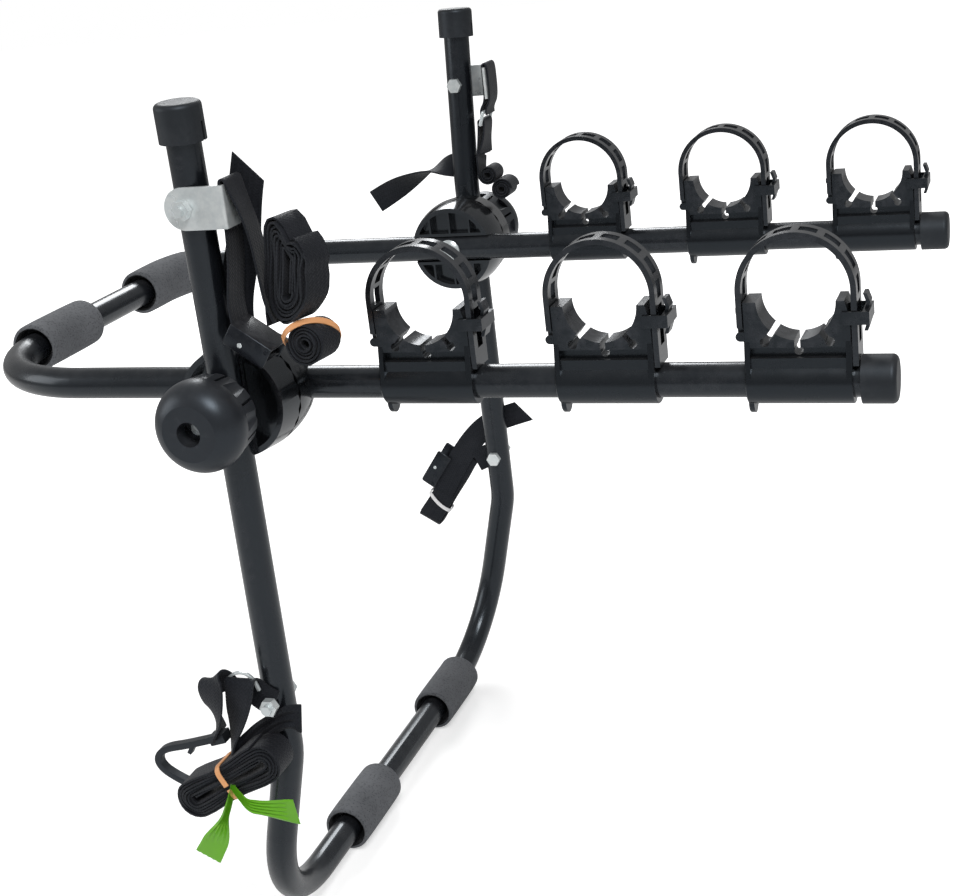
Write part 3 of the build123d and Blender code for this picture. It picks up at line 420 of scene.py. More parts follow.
def only_verts(geom: list) -> list[bmesh.types.BMVert]:
    """Keeps the vertices of what an operator made."""
    return [v for v in geom if isinstance(v, bmesh.types.BMVert)]


def among(bm: bmesh.types.BMesh, verts: set[bmesh.types.BMVert]) -> list[bmesh.types.BMEdge]:
    """Edges that have both ends among some vertices."""
    return [e for e in bm.edges if e.verts[0] in verts and e.verts[1] in verts]


def soften(bm: bmesh.types.BMesh, edges: list[bmesh.types.BMEdge], width: float) -> None:
    """Rounds edges by a width in millimetres."""
    bmesh.ops.bevel(bm, geom=edges, offset=width * MM, offset_type="OFFSET", segments=2, profile=0.5, affect="EDGES",
                    material=-1, clamp_overlap=True)


def finished(bm: bmesh.types.BMesh, name: str, slot: str, body: str, stands_for: tuple[str, ...]) -> bpy.types.Object:
    """Turns a mesh under construction into a piece of the rack.

    Args:
        bm: The mesh, in metres, already in its place.
        name: The piece's name.
        slot: The record's slot that its finish comes from.
        body: The body that it rides on.
        stands_for: CAD nodes that it replaces.

    Returns:
        The new object.
    """
    mesh = bpy.data.meshes.new(name)
    bm.to_mesh(mesh)
    bm.free()
    mesh.polygons.foreach_set("use_smooth", [True] * len(mesh.polygons))
    piece = linked(name, mesh)
    piece.data.materials.append(PAINT.of(slot))
    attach(piece, body)
    if stands_for:
        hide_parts(*stands_for)
    log.info("%s: %d faces on %s", name, len(mesh.polygons), body)
    return piece


# Webbing, film and elastic

ACROSS = Vector((0, 1, 0))
EDGE_STEPS, EDGE_ANGLE = 3, radians(50)
TURN_STEPS, RUN_STEP = 12, 9
SLOW_WAVE, QUICK_WAVE, QUICK_SHARE = 0.043, 0.097, 0.6
BAND_THICK, BAND_GAP = 1.0, 1.1
TOP_FROM, TOP_TILT = 3.0, 10.0


def spot(x: float, z: float, y: float) -> Vector:
    """Point in millimetres, given as the straps' lists give it."""
    return Vector((x, y, z))


def laid(y: float, rows: list[tuple[float, ...]]) -> tuple[list[Vector], list[Vector]]:
    """Reads a strap's table into points and width directions.

    Args:
        y: The strap's own Y in millimetres.
        rows: X, Z and Y from the strap's own, then the three parts of the width direction.
    """
    return [spot(x, z, y + off) for x, z, off, *_ in rows], [Vector(row[3:]) for row in rows]


def cut_corners(points: list[Vector], rounds: int) -> list[Vector]:
    """Cuts the corners of a line again and again, and keeps its ends."""
    for _ in range(rounds):
        cut = [points[0]]
        for a, b in zip(points, points[1:]):
            cut += [a.lerp(b, 0.25), a.lerp(b, 0.75)]
        points = cut + [points[-1]]
    return points


@dataclass
class Strip:
    """One length of webbing, film or elastic, drawn along the line of its middle."""

    name: str
    body: str
    points: list[Vector]
    across: list[Vector]
    stands_for: tuple[str, ...] = ()
    width: float = WEB
    thick: float = 1.6
    slot: str = "webbing"
    soft: float = 0.3
    held: str = "folded"
    rests_on: tuple[str, ...] = ()
    rounds: int = 3
    cells: int = 6
    narrow: tuple[tuple[float, float], ...] = ((0.0, 1.0), (1.0, 1.0))
    slant_start: float = 0.0
    slant_end: float = 0.0
    slant_run: float = 14.0
    cloth: bool = True

    def frames(self) -> list[tuple[Vector, Vector, Vector, Vector]]:
        """Works out point, tangent, width direction and normal at each station."""
        points = cut_corners(self.points, self.rounds)
        across = cut_corners(self.across, self.rounds)
        out, last = [], len(points) - 1
        for i, point in enumerate(points):
            run = (points[min(last, i + 1)] - points[max(0, i - 1)]).normalized()
            wide = across[i] - run * across[i].dot(run)
            wide.normalize()
            out.append((point, run, wide, run.cross(wide)))
        return out

    def factor(self, share: float) -> float:
        """Narrowing of the strip at a share of its length, as film gathered in pleats."""
        for (a, fa), (b, fb) in zip(self.narrow, self.narrow[1:]):
            if share <= b:
                t = (share - a) / (b - a)
                t = t * t * (3 - 2 * t)
                return fa + (fb - fa) * t
        return self.narrow[-1][1]

    def build(self) -> bpy.types.Object:
        """Extrudes a cross line from station to station, then adds thickness."""
        frames = self.frames()
        reach = [0.0]
        for (a, *_), (b, *_) in zip(frames, frames[1:]):
            reach.append(reach[-1] + (b - a).length)
        total = reach[-1]
        bm = bmesh.new()
        uv = bm.loops.layers.uv.new("UVMap")
        bmesh.ops.create_grid(bm, x_segments=self.cells, y_segments=1, size=0.5)
        bmesh.ops.delete(bm, geom=[v for v in bm.verts if v.co.y > 0], context="VERTS")
        row = sorted(bm.verts, key=lambda v: v.co.x)
        shares = [v.co.x for v in row]
        cell = self.width / self.cells
        places = {}
        for i, (point, run, wide, face) in enumerate(frames):
            if i:
                row = only_verts(bmesh.ops.extrude_edge_only(bm, edges=among(bm, set(row)))["geom"])
                row.sort(key=lambda v: (v.co - frames[i - 1][0] * MM).dot(frames[i - 1][2]))
            squeeze = self.factor(reach[i] / total)
            depth = cell / 2 * (1 - squeeze * squeeze) ** 0.5
            lean = self.slant_end * max(0.0, 1 - (total - reach[i]) / self.slant_run)
            lean -= self.slant_start * max(0.0, 1 - reach[i] / self.slant_run)
            for k, (share, v) in enumerate(zip(shares, row)):
                place = point + wide * (share * self.width * squeeze) - run * (share * lean)
                v.co = (place + face * (depth if k % 2 else -depth)) * MM
                places[v] = (share + 0.5, reach[i] * MM)
        for made_face in bm.faces:
            for loop in made_face.loops:
                loop[uv].uv = places[loop.vert]
        bmesh.ops.recalc_face_normals(bm, faces=bm.faces)
        piece = finished(bm, self.name, self.slot, self.body, self.stands_for)
        solid = piece.modifiers.new("thickness", "SOLIDIFY")
        solid.thickness = self.thick * MM
        solid.offset = 0.0
        edge = piece.modifiers.new("soft_edges", "BEVEL")
        edge.width = self.thick * self.soft * MM
        edge.segments = EDGE_STEPS
        edge.limit_method = "ANGLE"
        edge.angle_limit = EDGE_ANGLE
        return piece


@dataclass
class Bundle:
    """Webbing wound round the two ends of a run, squeezed where a band ties it."""

    name: str
    body: str
    foot: Point
    y: float
    halves: int
    run: float
    lean: float
    stands_for: tuple[str, ...]
    lead: float = 0.0
    flip: bool = False
    layers_along_y: bool = False
    first: float = 3.0
    pitch: float = 2.4
    tie: float = 0.0
    squeeze: float = 1.0
    tie_reach: float = 22.0
    flare: float = 1.0
    ruffle: float = 1.0
    fan: float = 0.0
    yaw: float = 0.0
    top_slope: float = 0.0
    low_slope: float = 0.0
    notch: float = 0.0

    def scale(self, along: float) -> float:
        """Thickness factor of the bundle at a height over its foot."""
        near = max(0.0, 1 - ((along - self.tie) / self.tie_reach) ** 2)
        return self.flare + (self.squeeze - self.flare) * near * near * (3 - 2 * near)

    def place(self, off: float, wide: float, along: float) -> Vector:
        """Gives the place of a point of the bundle.

        Args:
            off: Distance from the middle layer.
            wide: Distance along the webbing's width.
            along: Height over the foot, along the run.

        Returns:
            The point in the rack's frame, in millimetres.
        """
        a = radians(self.lean)
        side = -1 if self.flip else 1
        level, rise = Vector((cos(a), 0, -sin(a))), Vector((sin(a), 0, cos(a)))
        first, second = (ACROSS, level) if self.layers_along_y else (level * side, ACROSS)
        middle = Vector((self.foot[0], self.y, self.foot[1])) + rise * (self.run / 2)
        point = first * off + second * wide + rise * (along - self.run / 2)
        share = (along / self.run - 0.5) if self.run else 0.0
        point.z -= point.x * (self.top_slope * max(0.0, share) - self.low_slope * max(0.0, -share)) * 2
        point.z -= self.notch * max(0.0, share) * exp(-(((point.x - 6.0) / 4.0) ** 2))
        turn = Matrix.Rotation(radians(self.yaw), 3, "Z")
        return middle + turn @ point

    def line(self) -> tuple[list[Vector], list[Vector]]:
        """Follows the webbing from the core to its free end, as points and width directions."""
        x, z, up = (self.pitch / 2 if self.halves % 2 == 0 else 0.0) - self.first, 0.0, 1
        local = [(x, z, 0)]
        for i in range(self.halves):
            r = self.first + i * self.pitch / 2
            steps = max(2, int(self.run / RUN_STEP)) if self.run else 0
            local += [(x, z + up * self.run * k / steps, i) for k in range(1, steps + 1)]
            z += up * self.run
            middle = x + r * up
            for k in range(1, TURN_STEPS + 1):
                turn = pi * k / TURN_STEPS
                local.append((middle - r * up * cos(turn), z + r * up * sin(turn), i + k / TURN_STEPS))
            x, up = x + 2 * r * up, -up
        if self.run + self.lead:
            local += [(x, z + up * (self.run + self.lead) * k / 8, self.halves) for k in range(1, 9)]
        points, across, travelled, last = [], [], 0.0, local[0]
        for off, along, turn in local:
            travelled += ((off - last[0]) ** 2 + (along - last[1]) ** 2) ** 0.5
            last = (off, along, turn)
            wave = sin(travelled * SLOW_WAVE + turn) + QUICK_SHARE * sin(travelled * QUICK_WAVE + 2 * turn)
            drift = self.ruffle * wave
            off *= self.scale(along)
            here = self.place(off, drift, along)
            wide = self.place(off, drift + 1, along) - here
            if self.fan:
                swing = radians(self.fan * sin(1.9 * turn + 0.5))
                rise = (self.place(off, drift, along + 1) - here).normalized()
                wide = wide * cos(swing) + rise * sin(swing)
            points.append(here)
            across.append(wide)
        return points, across

    def build(self) -> bpy.types.Object:
        """Builds the bundle's webbing as one strip."""
        points, across = self.line()
        return Strip(self.name, self.body, points, across, self.stands_for, rounds=0).build()

    def band(self, name: str, slot: str, along: float, stands_for: tuple[str, ...], width: float = 4.6,
             sway: float = 0.0, bow: float = 0.0) -> bpy.types.Object:
        """Ties a flat elastic band round the bundle.

        Args:
            name: The band's name.
            slot: The slot of its finish.
            along: Where it sits on the run.
            stands_for: CAD nodes that it replaces.
            width: Its width in millimetres.
            sway: How far its two faces are shifted along the run, one up and one down.
            bow: How far its middle hangs below its ends.

        Returns:
            The finished band.
        """
        half = (self.first + (self.halves - 1) * self.pitch / 2 + 0.8) * self.scale(along) + BAND_GAP
        span = WEB / 2 + 1.9 * self.ruffle + 1.0
        corners = [(0.3 * half, -span), (half, -span), (half, 0), (half, span), (0, span), (-half, span), (-half, 0),
                   (-half, -span), (0.1 * half, -span - 0.4)]
        points = []
        for off, wide in corners:
            share = wide / span
            points.append(self.place(off, wide, along + sway * wide / span - bow * (1 - abs(share))))
        rise = (self.place(0, 0, along + 1) - self.place(0, 0, along)).normalized()
        strip = Strip(name, self.body, points, [rise] * len(points), stands_for, width=width,
                      thick=BAND_THICK, slot=slot, cloth=False, cells=4)
        return strip.build()


def tied(name: str, body: str, middle: Vector, loop: list[tuple[float, float, float]], slot: str,
         stands_for: tuple[str, ...], width: float = 5.0) -> bpy.types.Object:
    """Ties a flat elastic band round a roll.

    Args:
        name: The band's name.
        body: The body that carries it.
        middle: The roll's middle, in millimetres.
        loop: Places on the band, as X, Z and Y from that middle.
        slot: The slot of its finish.
        stands_for: CAD nodes that it replaces.
        width: The band's width in millimetres.

    Returns:
        The finished band.
    """
    points = [middle + Vector((x, y, z)) for x, z, y in loop]
    across, last = [], len(points) - 1
    for i, point in enumerate(points):
        run = points[min(last, i + 1)] - points[max(0, i - 1)]
        out = point - middle
        tilt = TOP_TILT if out.z > TOP_FROM else 0.0
        across.append(run.cross(Vector((out.x, out.y * 0.75 - tilt, out.z))).normalized())
    return Strip(name, body, points, across, stands_for, width=width, thick=BAND_THICK, slot=slot, cloth=False,
                 cells=4).build()


# Foam pads


@dataclass
class CrossTube:
    """Middle line of one half of a cross tube: a straight part and a bend at its end."""

    middle: Vector
    straight: float
    bend_r: float
    turn: Vector

    def at(self, side: int, distance: float) -> tuple[Vector, Vector]:
        """Gives the point at a distance from the rack's middle, and the tube's direction there."""
        if distance <= self.straight:
            return self.middle + Vector((0, side * distance, 0)), Vector((0, side, 0))
        angle = (distance - self.straight) / self.bend_r
        start = self.middle + Vector((0, side * self.straight, 0))
        point = start + Vector((0, side * self.bend_r * sin(angle), 0)) + self.turn * (self.bend_r * (1 - cos(angle)))
        return point, Vector((0, side * cos(angle), 0)) + self.turn * sin(angle)


PADS = (("left_leg_pad", "legs", -1, 35.0), ("right_leg_pad", "legs", 1, 108.0),
        ("left_arm_pad", "arms", -1, 32.0), ("right_arm_pad", "arms", 1, 69.0))


@dataclass
class FoamPads:
    """Foam sleeves on the two cross tubes."""

    length: float = 86.0
    outer_r: float = 21.5
    bore_r: float = 13.0
    mouth_r: float = 17.3
    mouth: float = 9.0
    edge: float = 2.6
    crown: float = 0.35
    shin: float = radians(13.75)

    def build(self) -> None:
        """Builds the four pads."""
        down = Vector((-sin(self.shin), 0, -cos(self.shin)))
        leg = CrossTube(Vector((0, 0, -295.7)) + down * 183.1, 176.0, 100.0, down * -1)
        arm = CrossTube(Vector((-280.4, 0, 0)), 108.0, 110.0, Vector((1, 0, 0)))
        for name, body, side, start in PADS:
            self.pad(name, body, leg if body == "legs" else arm, side, start)

    def profile(self) -> list[tuple[float, float, float]]:
        """Half section of the foam: radius, distance along the pad, and 1 where it is painted near black (the recessed
        mouths and the bore).
        """
        end = [(self.bore_r, self.mouth, 1), (self.mouth_r - 0.6, self.mouth, 1), (self.mouth_r, self.mouth - 0.8, 1),
               (self.mouth_r + 0.1, 1.6, 1), (self.mouth_r + 0.4, 0.5, 1)]
        for k in range(6):
            turn = pi / 2 * k / 5
            end.append((self.outer_r - self.edge + self.edge * sin(turn), self.edge - self.edge * cos(turn), 0))
        steps = 12
        middle = []
        for k in range(1, steps):
            share = k / steps
            crown = self.crown * (1 - (2 * share - 1) ** 4)
            middle.append((self.outer_r + crown, self.edge + (self.length - 2 * self.edge) * share, 0))
        other = [(r, self.length - s, core) for r, s, core in reversed(end)]
        knob_hole_shade = self.length - 2 * self.mouth
        bore = [(self.bore_r, self.length - self.mouth - knob_hole_shade * k / 8, 1) for k in range(1, 8)]
        return end + middle + other + bore

    def pad(self, name: str, body: str, tube: CrossTube, side: int, start: float) -> None:
        """Spins one pad and lays it along its tube.

        Args:
            name: The CAD node that it replaces.
            body: The body that carries it.
            tube: The tube under it.
            side: -1 on the left, 1 on the right.
            start: Distance of its inner end from the rack's middle.
        """
        bm = bmesh.new()
        core = bm.verts.layers.float.new("core")
        ring = []
        for r, s, dark in self.profile():
            v = bm.verts.new((r, 0, s))
            v[core] = dark
            ring.append(v)
        for a, b in zip(ring, ring[1:] + ring[:1]):
            bm.edges.new((a, b))
        bmesh.ops.spin(bm, geom=bm.verts[:] + bm.edges[:], cent=(0, 0, 0), axis=(0, 0, 1), dvec=(0, 0, 0),
                       angle=2 * pi, steps=56, use_merge=True, use_duplicate=False)
        for v in bm.verts:
            point, run = tube.at(side, start + v.co.z)
            out = run.cross(tube.turn.cross(Vector((0, side, 0)))).normalized()
            up = run.cross(out).normalized()
            v.co = (point + out * v.co.x + up * v.co.y) * MM
        bmesh.ops.recalc_face_normals(bm, faces=bm.faces)
        piece = finished(bm, name + "_foam", "foam", body, (name,))


# Cam buckles

LEVEL = 1e-6


@dataclass
class CamBuckle:
    """Pressed frame with two cheeks, a base, pins and a ribbed lever."""

    side: str
    centre: tuple[float, float, float]
    lean: float
    body: str
    lever_body: str
    length: float = 36.0
    height: float = 13.0
    width: float = 29.2
    sheet: float = 1.8
    hood: float = 4.5
    nose: float = 0.0

    def matrix(self) -> Matrix:
        """Place of the buckle: X along it, Y out of its lever side, Z across the webbing."""
        a = radians(-self.lean)
        along, out = Vector((cos(a), 0, sin(a))), Vector((-sin(a), 0, cos(a)))
        turn = Matrix((along, out, Vector((0, -1, 0)))).transposed().to_4x4()
        return Matrix.Translation(Vector(self.centre) * MM) @ turn

    def plate(self, bm: bmesh.types.BMesh, outline: list[Point], z0: float, z1: float, soft: float = 0.5) -> None:
        """Extrudes a bevelled plate from an outline.

        Args:
            bm: The mesh that takes the plate.
            outline: X and Y of its corners.
            z0: Its lower face.
            z1: Its upper face.
            soft: Width of the rounding on its edges.
        """
        before = set(bm.verts)
        face = bm.faces.new([bm.verts.new((x * MM, y * MM, z0 * MM)) for x, y in outline])
        made = bmesh.ops.extrude_face_region(bm, geom=[face])["geom"]
        bmesh.ops.translate(bm, verts=only_verts(made), vec=(0, 0, (z1 - z0) * MM))
        soften(bm, among(bm, {v for v in bm.verts if v not in before}), soft)

    def rod(self, bm: bmesh.types.BMesh, x: float, y: float, r: float, half: float) -> None:
        """Adds a pin across the buckle with softened ends."""
        made = bmesh.ops.create_cone(bm, cap_ends=True, segments=28, radius1=r * MM, radius2=r * MM,
                                     depth=2 * half * MM, matrix=Matrix.Translation(mm(x, y, 0)))["verts"]
        soften(bm, [e for e in among(bm, set(made)) if abs(e.verts[0].co.z - e.verts[1].co.z) < LEVEL], 0.4)

    def build(self) -> None:
        """Builds the frame, its pins and the lever."""
        half_l, half_h, half_w = self.length / 2, self.height / 2, self.width / 2
        bm = bmesh.new()
        far, top = half_l + self.nose, half_h + self.hood
        cheek = [(-half_l, -half_h), (far, -half_h), (far, top - 1.5), (far - 1.5, top), (-half_l + 1.5, top),
                 (-half_l, top - 1.5)]
        for z in (-half_w, half_w - self.sheet):
            self.plate(bm, cheek, z, z + self.sheet, 0.7)
        over = -half_h + self.sheet
        base = [(-half_l, -half_h), (half_l, -half_h), (half_l, over), (-half_l, over)]
        self.plate(bm, base, -half_w + 0.4, half_w - 0.4, 0.4)
        self.rod(bm, -half_l + 3, -half_h + 4, 1.9, half_w + 0.5)
        bmesh.ops.transform(bm, matrix=self.matrix(), verts=bm.verts)
        bmesh.ops.recalc_face_normals(bm, faces=bm.faces)
        finished(bm, f"{self.side}_cam_frame", "buckle", self.body, (f"{self.side}_buckle",))
        bm = bmesh.new()
        self.rod(bm, half_l - 13.2, half_h - 2, 1.95, half_w + 0.6)
        bmesh.ops.transform(bm, matrix=self.matrix(), verts=bm.verts)
        finished(bm, f"{self.side}_cam_pin", "zinc", self.body, ())
        bm = bmesh.new()
        outline = [(half_l - 17, half_h + 1.2), (half_l - 13.2, half_h + 1.5), (half_l - 10.2, half_h - 1),
                   (half_l - 10.6, half_h - 4), (half_l - 14, half_h - 5.4), (half_l - 17, half_h - 3.6),
                   (-2, half_h - 2.6), (-half_l + 3, half_h - 2.2), (-half_l + 0.6, half_h - 0.6),
                   (-half_l + 2, half_h + 0.9)]
        for k in range(5):
            x = -half_l + 5 + 2.4 * k
            outline += [(x, half_h + 0.9), (x + 0.7, half_h + 0.2), (x + 1.4, half_h + 0.9)]
        self.plate(bm, outline, -half_w + self.sheet + 0.9, half_w - self.sheet - 0.9, 0.25)
        bmesh.ops.transform(bm, matrix=self.matrix(), verts=bm.verts)
        bmesh.ops.recalc_face_normals(bm, faces=bm.faces)
        finished(bm, f"{self.side}_cam_lever", "buckle", self.lever_body, (f"{self.side}_lever",))


# Straps


@dataclass
class Straps:
    """All the tied up straps with their bands, ribbons and hook."""

    upper_y: float = 282.58
    lower_y: float = 301.5

    def build(self) -> None:
        """Builds each strap in turn."""
        self.left_upper()
        self.right_upper()
        self.left_lower()
        self.right_lower()

    def left_upper(self) -> None:
        """Loop through the bracket, standing tail, bundle, roll and band."""
        body, y = "left_upper_anchor", -self.upper_y
        route = [(25, 64), (24, 74), (24, 86), (26.5, 98), (30, 116), (32.3, 140), (32.3, 165), (32.3, 174), (37, 174),
                 (38.3, 168), (42, 156), (46, 142), (48.8, 127), (50.2, 101), (51, 83), (56.5, 68)]
        turn = [0.0] * 9 + [0.0, -0.1, -0.12, -0.12, -0.15, -0.18, -0.2]
        points = [spot(x, z, y) for x, z in route]
        Strip("left_upper_loop", body, points, [Vector((t, 1, 0)) for t in turn], ("left_upper_web",)).build()
        Bundle("left_upper_folds", body, (74.5, 90.0), y, 15, 34.0, 10.0, ("left_upper_bundle",), lead=16.0,
               flip=True, flare=0.9, ruffle=1.2, yaw=-15.0, top_slope=0.42, low_slope=0.25, notch=8.0).build()
        Bundle("left_upper_coil", body, (81.0, 53.0), y, 11, 0.0, 180.0, ("left_upper_roll",), ruffle=0.9,
               yaw=-8.0).build()
        loop = [(-18.3, 4, -11), (-14, 10, -13.4), (-7, 14.6, -13), (1, 16.8, -9.5), (8.5, 15.4, -2), (14.4, 10, 7),
                (17.2, 1.5, 14.4), (10, -8, 15.6), (-2, -14.8, 13), (-11, -12.5, 7), (-17, -6.3, 1), (-18.8, 0, -6),
                (-18.5, 3.6, -10.4)]
        tied("left_upper_elastic", body, spot(81.0, 53.0, y), loop, "orange_band", ("left_upper_band",))
        points, across = laid(y, [
            (12, 60, 19.5, 1, 0, 0), (12.5, 72, 19.5, 1, 0, -0.1), (15.5, 86, 19.2, 0.96, 0, -0.28),
            (20.5, 100, 18.5, 0.95, 0, -0.32), (25.5, 114, 18, 0.95, 0, -0.32), (29.5, 126, 17.7, 0.97, 0, -0.24),
            (32, 140, 17.5, 0.98, 0, -0.2), (36, 158, 17.5, 0.95, 0, -0.28), (41.9, 177.5, 17.5, 0.94, 0, -0.343)])
        Strip("left_upper_end", body, points, across, ("left_upper_tail",), width=27.0, held="hung", slant_end=15.0,
              slant_run=24.0).build()

    def right_upper(self) -> None:
        """Loop through the bracket, ring strap, rolls and twisted tail."""
        body, y = "right_upper_anchor", self.upper_y
        route = [(26.2, 123), (26.2, 129), (32.3, 138), (32.3, 165), (32.3, 174), (37, 174), (38, 165), (37.5, 138),
                 (31.9, 129), (31.9, 123)]
        points = [spot(x, z, y) for x, z in route]
        Strip("right_upper_loop", body, points, [ACROSS] * len(points), ("right_upper_web",)).build()
        points, across = laid(y, [
            (20.0, 82, 0, 0.25, 1, 0), (19.8, 97, 0, 0, 1, 0), (21.9, 112, 0, 0, 1, 0), (21.9, 118.6, 0, 0, 1, 0),
            (28.1, 118.6, 0, 0, 1, 0), (28.1, 112, 0, 0, 1, 0), (25.0, 97, 0, 0, 1, 0), (21.8, 84, 0, 0.25, 1, 0)])
        Strip("right_upper_neck", body, points, across, ("right_upper_strap",)).build()
        Bundle("right_upper_coil_1", body, (25.5, 62.0), y, 6, 0.0, 0.0, ("right_upper_rolls",), lead=20.0,
               ruffle=0.6).build()
        Bundle("right_upper_coil_2", body, (40.0, 46.8), y, 7, 0.0, 0.0, ("right_upper_rolls",), ruffle=0.6).build()
        points, across = laid(y + 13.6, [
            (16, 66, 0, 0.1, 0, 1), (2, 68, 0, 0.05, 0, 1), (-12, 69.5, 1.5, 0, 0.1, 1), (-28, 69.5, 3, 0, 0.7, 0.75),
            (-44, 66.5, 2.5, 0.1, 1, 0.05), (-62, 60, 0, 0.3, 0.85, -0.35), (-88, 48, 0, 0.5, 0.4, -0.7),
            (-113.3, 35, 0, 0.62, 0.05, -0.75)])
        Strip("right_upper_end", body, points, across, ("right_upper_tail",), held="hung").build()

    def left_lower(self) -> None:
        """Lobe on the bolt, flap round the leg, tied bundle, hook and ribbons."""
        body, y = "left_lower_anchor", -self.lower_y
        points, across = laid(y, [
            (3, -245, 11.6, 0.3, 0, 0.95), (-8, -239, 11.6, 0.55, 0, 0.8), (-17, -229, 10.4, 0.9, 0, 0.4),
            (-19, -220, 6, 1, 0, 0), (-18, -219, -1, 1, 0, -0.12), (-19, -232, -4, 0.98, -0.15, -0.15),
            (-25, -250, -4, 0.9, -0.5, -0.1), (-31, -266, -3, 0.6, -0.8, 0), (-34, -278, -3, 0.5, -0.85, 0.1)])
        Strip("left_lower_fold", body, points, across, ("left_lower_web",)).build()
        points, across = laid(y, [
            (-33, -232, 7, 0.85, 0, 0.5), (-37, -222, 5, 0.85, 0, 0.52), (-41.5, -217, 0, 0.85, 0, 0.52),
            (-43, -223, -5, 0.87, -0.05, 0.5), (-43, -236, -6, 0.85, -0.3, 0.45), (-43, -249, -5, 0.65, -0.65, 0.4),
            (-44, -260, -2, 0.3, -0.9, 0.2), (-46, -270.5, 0, 0, -1, 0)])
        Strip("left_lower_lobe", body, points, across).build()
        points, across = laid(y, [
            (-32, -291, 7.5, 0.65, 0, 0.8), (-20, -277, 8.6, 0.55, 0, 0.85), (-4, -264, 9.2, 0.45, 0.1, 0.9),
            (9, -257, 9.2, 0.25, 0.1, 1), (18, -254.5, 9, 0, 0, 1), (25.6, -255.5, 9.6, -0.25, 0, 0.97)])
        pleats = ((0.0, 1.0), (0.3, 0.7), (0.7, 0.6), (1.0, 1.0))
        Strip("left_lower_flap", body, points, across, narrow=pleats).build()
        folds = Bundle("left_lower_folds", body, (-68.0, -322.0), y - 4.3, 12, 76.0, 60.0, ("left_lower_bundle",),
                       tie=38.8, squeeze=0.86, tie_reach=26.0, ruffle=1.3)
        folds.build()
        folds.band("left_lower_elastic", "orange_band", folds.tie, ("left_lower_band",), 4.8, 1.0)
        self.hook(body, y)
        self.ribbons(body, folds.y - WEB / 2 - 2.6)

    def hook(self, body: str, y: float) -> None:
        """Rubber coated hook with its socket and tooth, and the wire ring over the fold."""
        route = [(-41.5, -271), (-57.7, -275.4), (-78.3, -281.4), (-94, -284.8), (-103, -289.5), (-106.6, -297.5),
                 (-102.6, -305.2), (-93.4, -311.2), (-84.5, -315.6)]
        bar = [spot(x, z, y) for x, z in route]
        Strip("left_lower_hook_bar", body, bar, [ACROSS] * 9, ("left_lower_hook",), width=7.6, thick=5.4, slot="hook",
              soft=0.4, cloth=False, cells=4).build()
        socket = [spot(x, z, y) for x, z in ((-38.5, -269.8), (-44, -271.4), (-52, -273.8))]
        Strip("left_lower_hook_socket", body, socket, [ACROSS] * 3, width=12.0, thick=8.0, slot="hook", soft=0.25,
              cloth=False, cells=4).build()
        tooth = [spot(x, z, y) for x, z in ((-70, -280.5), (-73.5, -285.2), (-75.2, -288.2))]
        Strip("left_lower_hook_tooth", body, tooth, [ACROSS] * 3, width=6.0, thick=3.4, slot="hook", soft=0.4,
              cloth=False, cells=4).build()
        ring, across = laid(y, [(-33, -224, 4, 0, 1, 0), (-27, -216.5, 4.6, 0, 1, 0), (-17, -214.2, 5, 0, 1, 0),
                                (-8.5, -219.5, 5, 0, 1, 0), (-5, -230, 5, 0, 1, 0)])
        Strip("left_lower_ring", body, ring, across, width=2.4, thick=2.4, slot="zinc", soft=0.4, cloth=False,
              cells=2).build()

    def ribbons(self, body: str, y: float) -> None:
        """Ties the two film ribbons in front of the bundle."""
        points, across = laid(y, [
            (-29, -303, -0.5, 1, 0.2, 0), (-33, -316, -1.5, 1, 0.5, 0), (-41, -334, -2, 0.9, 0.5, -0.2),
            (-52, -354, -1, 1, 0.3, -0.3), (-64.7, -373.3, 0, 1, 0.1, -0.28)])
        Strip("ribbon_1", body, points, across, ("ribbons",), width=23.0, thick=0.5, slot="ribbon", held="hung",
              cells=10, narrow=((0.0, 0.16), (0.35, 0.24), (0.8, 0.93), (1.0, 0.98))).build()
        points, across = laid(y, [
            (-30, -304, -0.6, 0.6, 0.5, 0.6), (-25, -311, -1.6, 0.5, 0.4, 0.7), (-17, -320, -2.4, 0.2, 0.3, 1),
            (-4, -321, -2.2, 0, 0.15, 1), (12, -321.5, -1.4, -0.1, 0.05, 1), (24.5, -322, -1, -0.1, 0.1, 1)])
        Strip("ribbon_2", body, points, across, width=21.0, thick=0.5, slot="ribbon", held="hung", cells=10,
              narrow=((0.0, 0.18), (0.2, 0.25), (0.42, 0.55), (1.0, 0.98)), slant_end=5.0).build()

    def right_lower(self) -> None:
        """Flat bundle, its band and the webbing to the bolt."""
        body = "right_lower_anchor"
        middle = 298.85
        folds = Bundle("right_lower_folds", body, (-96.0, -328.0), middle, 4, 92.0, 35.6, ("right_lower_bundle",),
                       layers_along_y=True, ruffle=0.9, fan=5.0, flare=1.15, tie=22.0, squeeze=0.9, tie_reach=16.0)
        folds.build()
        folds.band("right_lower_elastic", "white_band", folds.tie, ("right_lower_band",), 4.0, -3.0, 3.0)
        y = 289.9
        points, across = laid(y, [
            (30, -200.5, 0, 0.29, 0, -0.96), (12, -206, 0, 0.31, 0, -0.95), (-6, -212, 0, 0.45, 0, -0.89),
            (-23, -223.5, 0, 0.66, 0, -0.75), (-38, -239, 0, 0.77, 0, -0.64), (-53, -259, 0, 0.83, 0, -0.56),
            (-67, -281, 0, 0.84, 0, -0.54), (-77, -296, 0, 0.84, 0, -0.54)])
        Strip("right_lower_flat", body, points, across, ("right_lower_web",), slant_start=-12.0).build()
        points = [spot(x, z, y - 0.1) for x, z in ((2, -246), (-14, -251), (-32, -259))]
        across = [Vector((0.3, 0, 1))] * 3
        Strip("right_lower_tab", body, points, across).build()


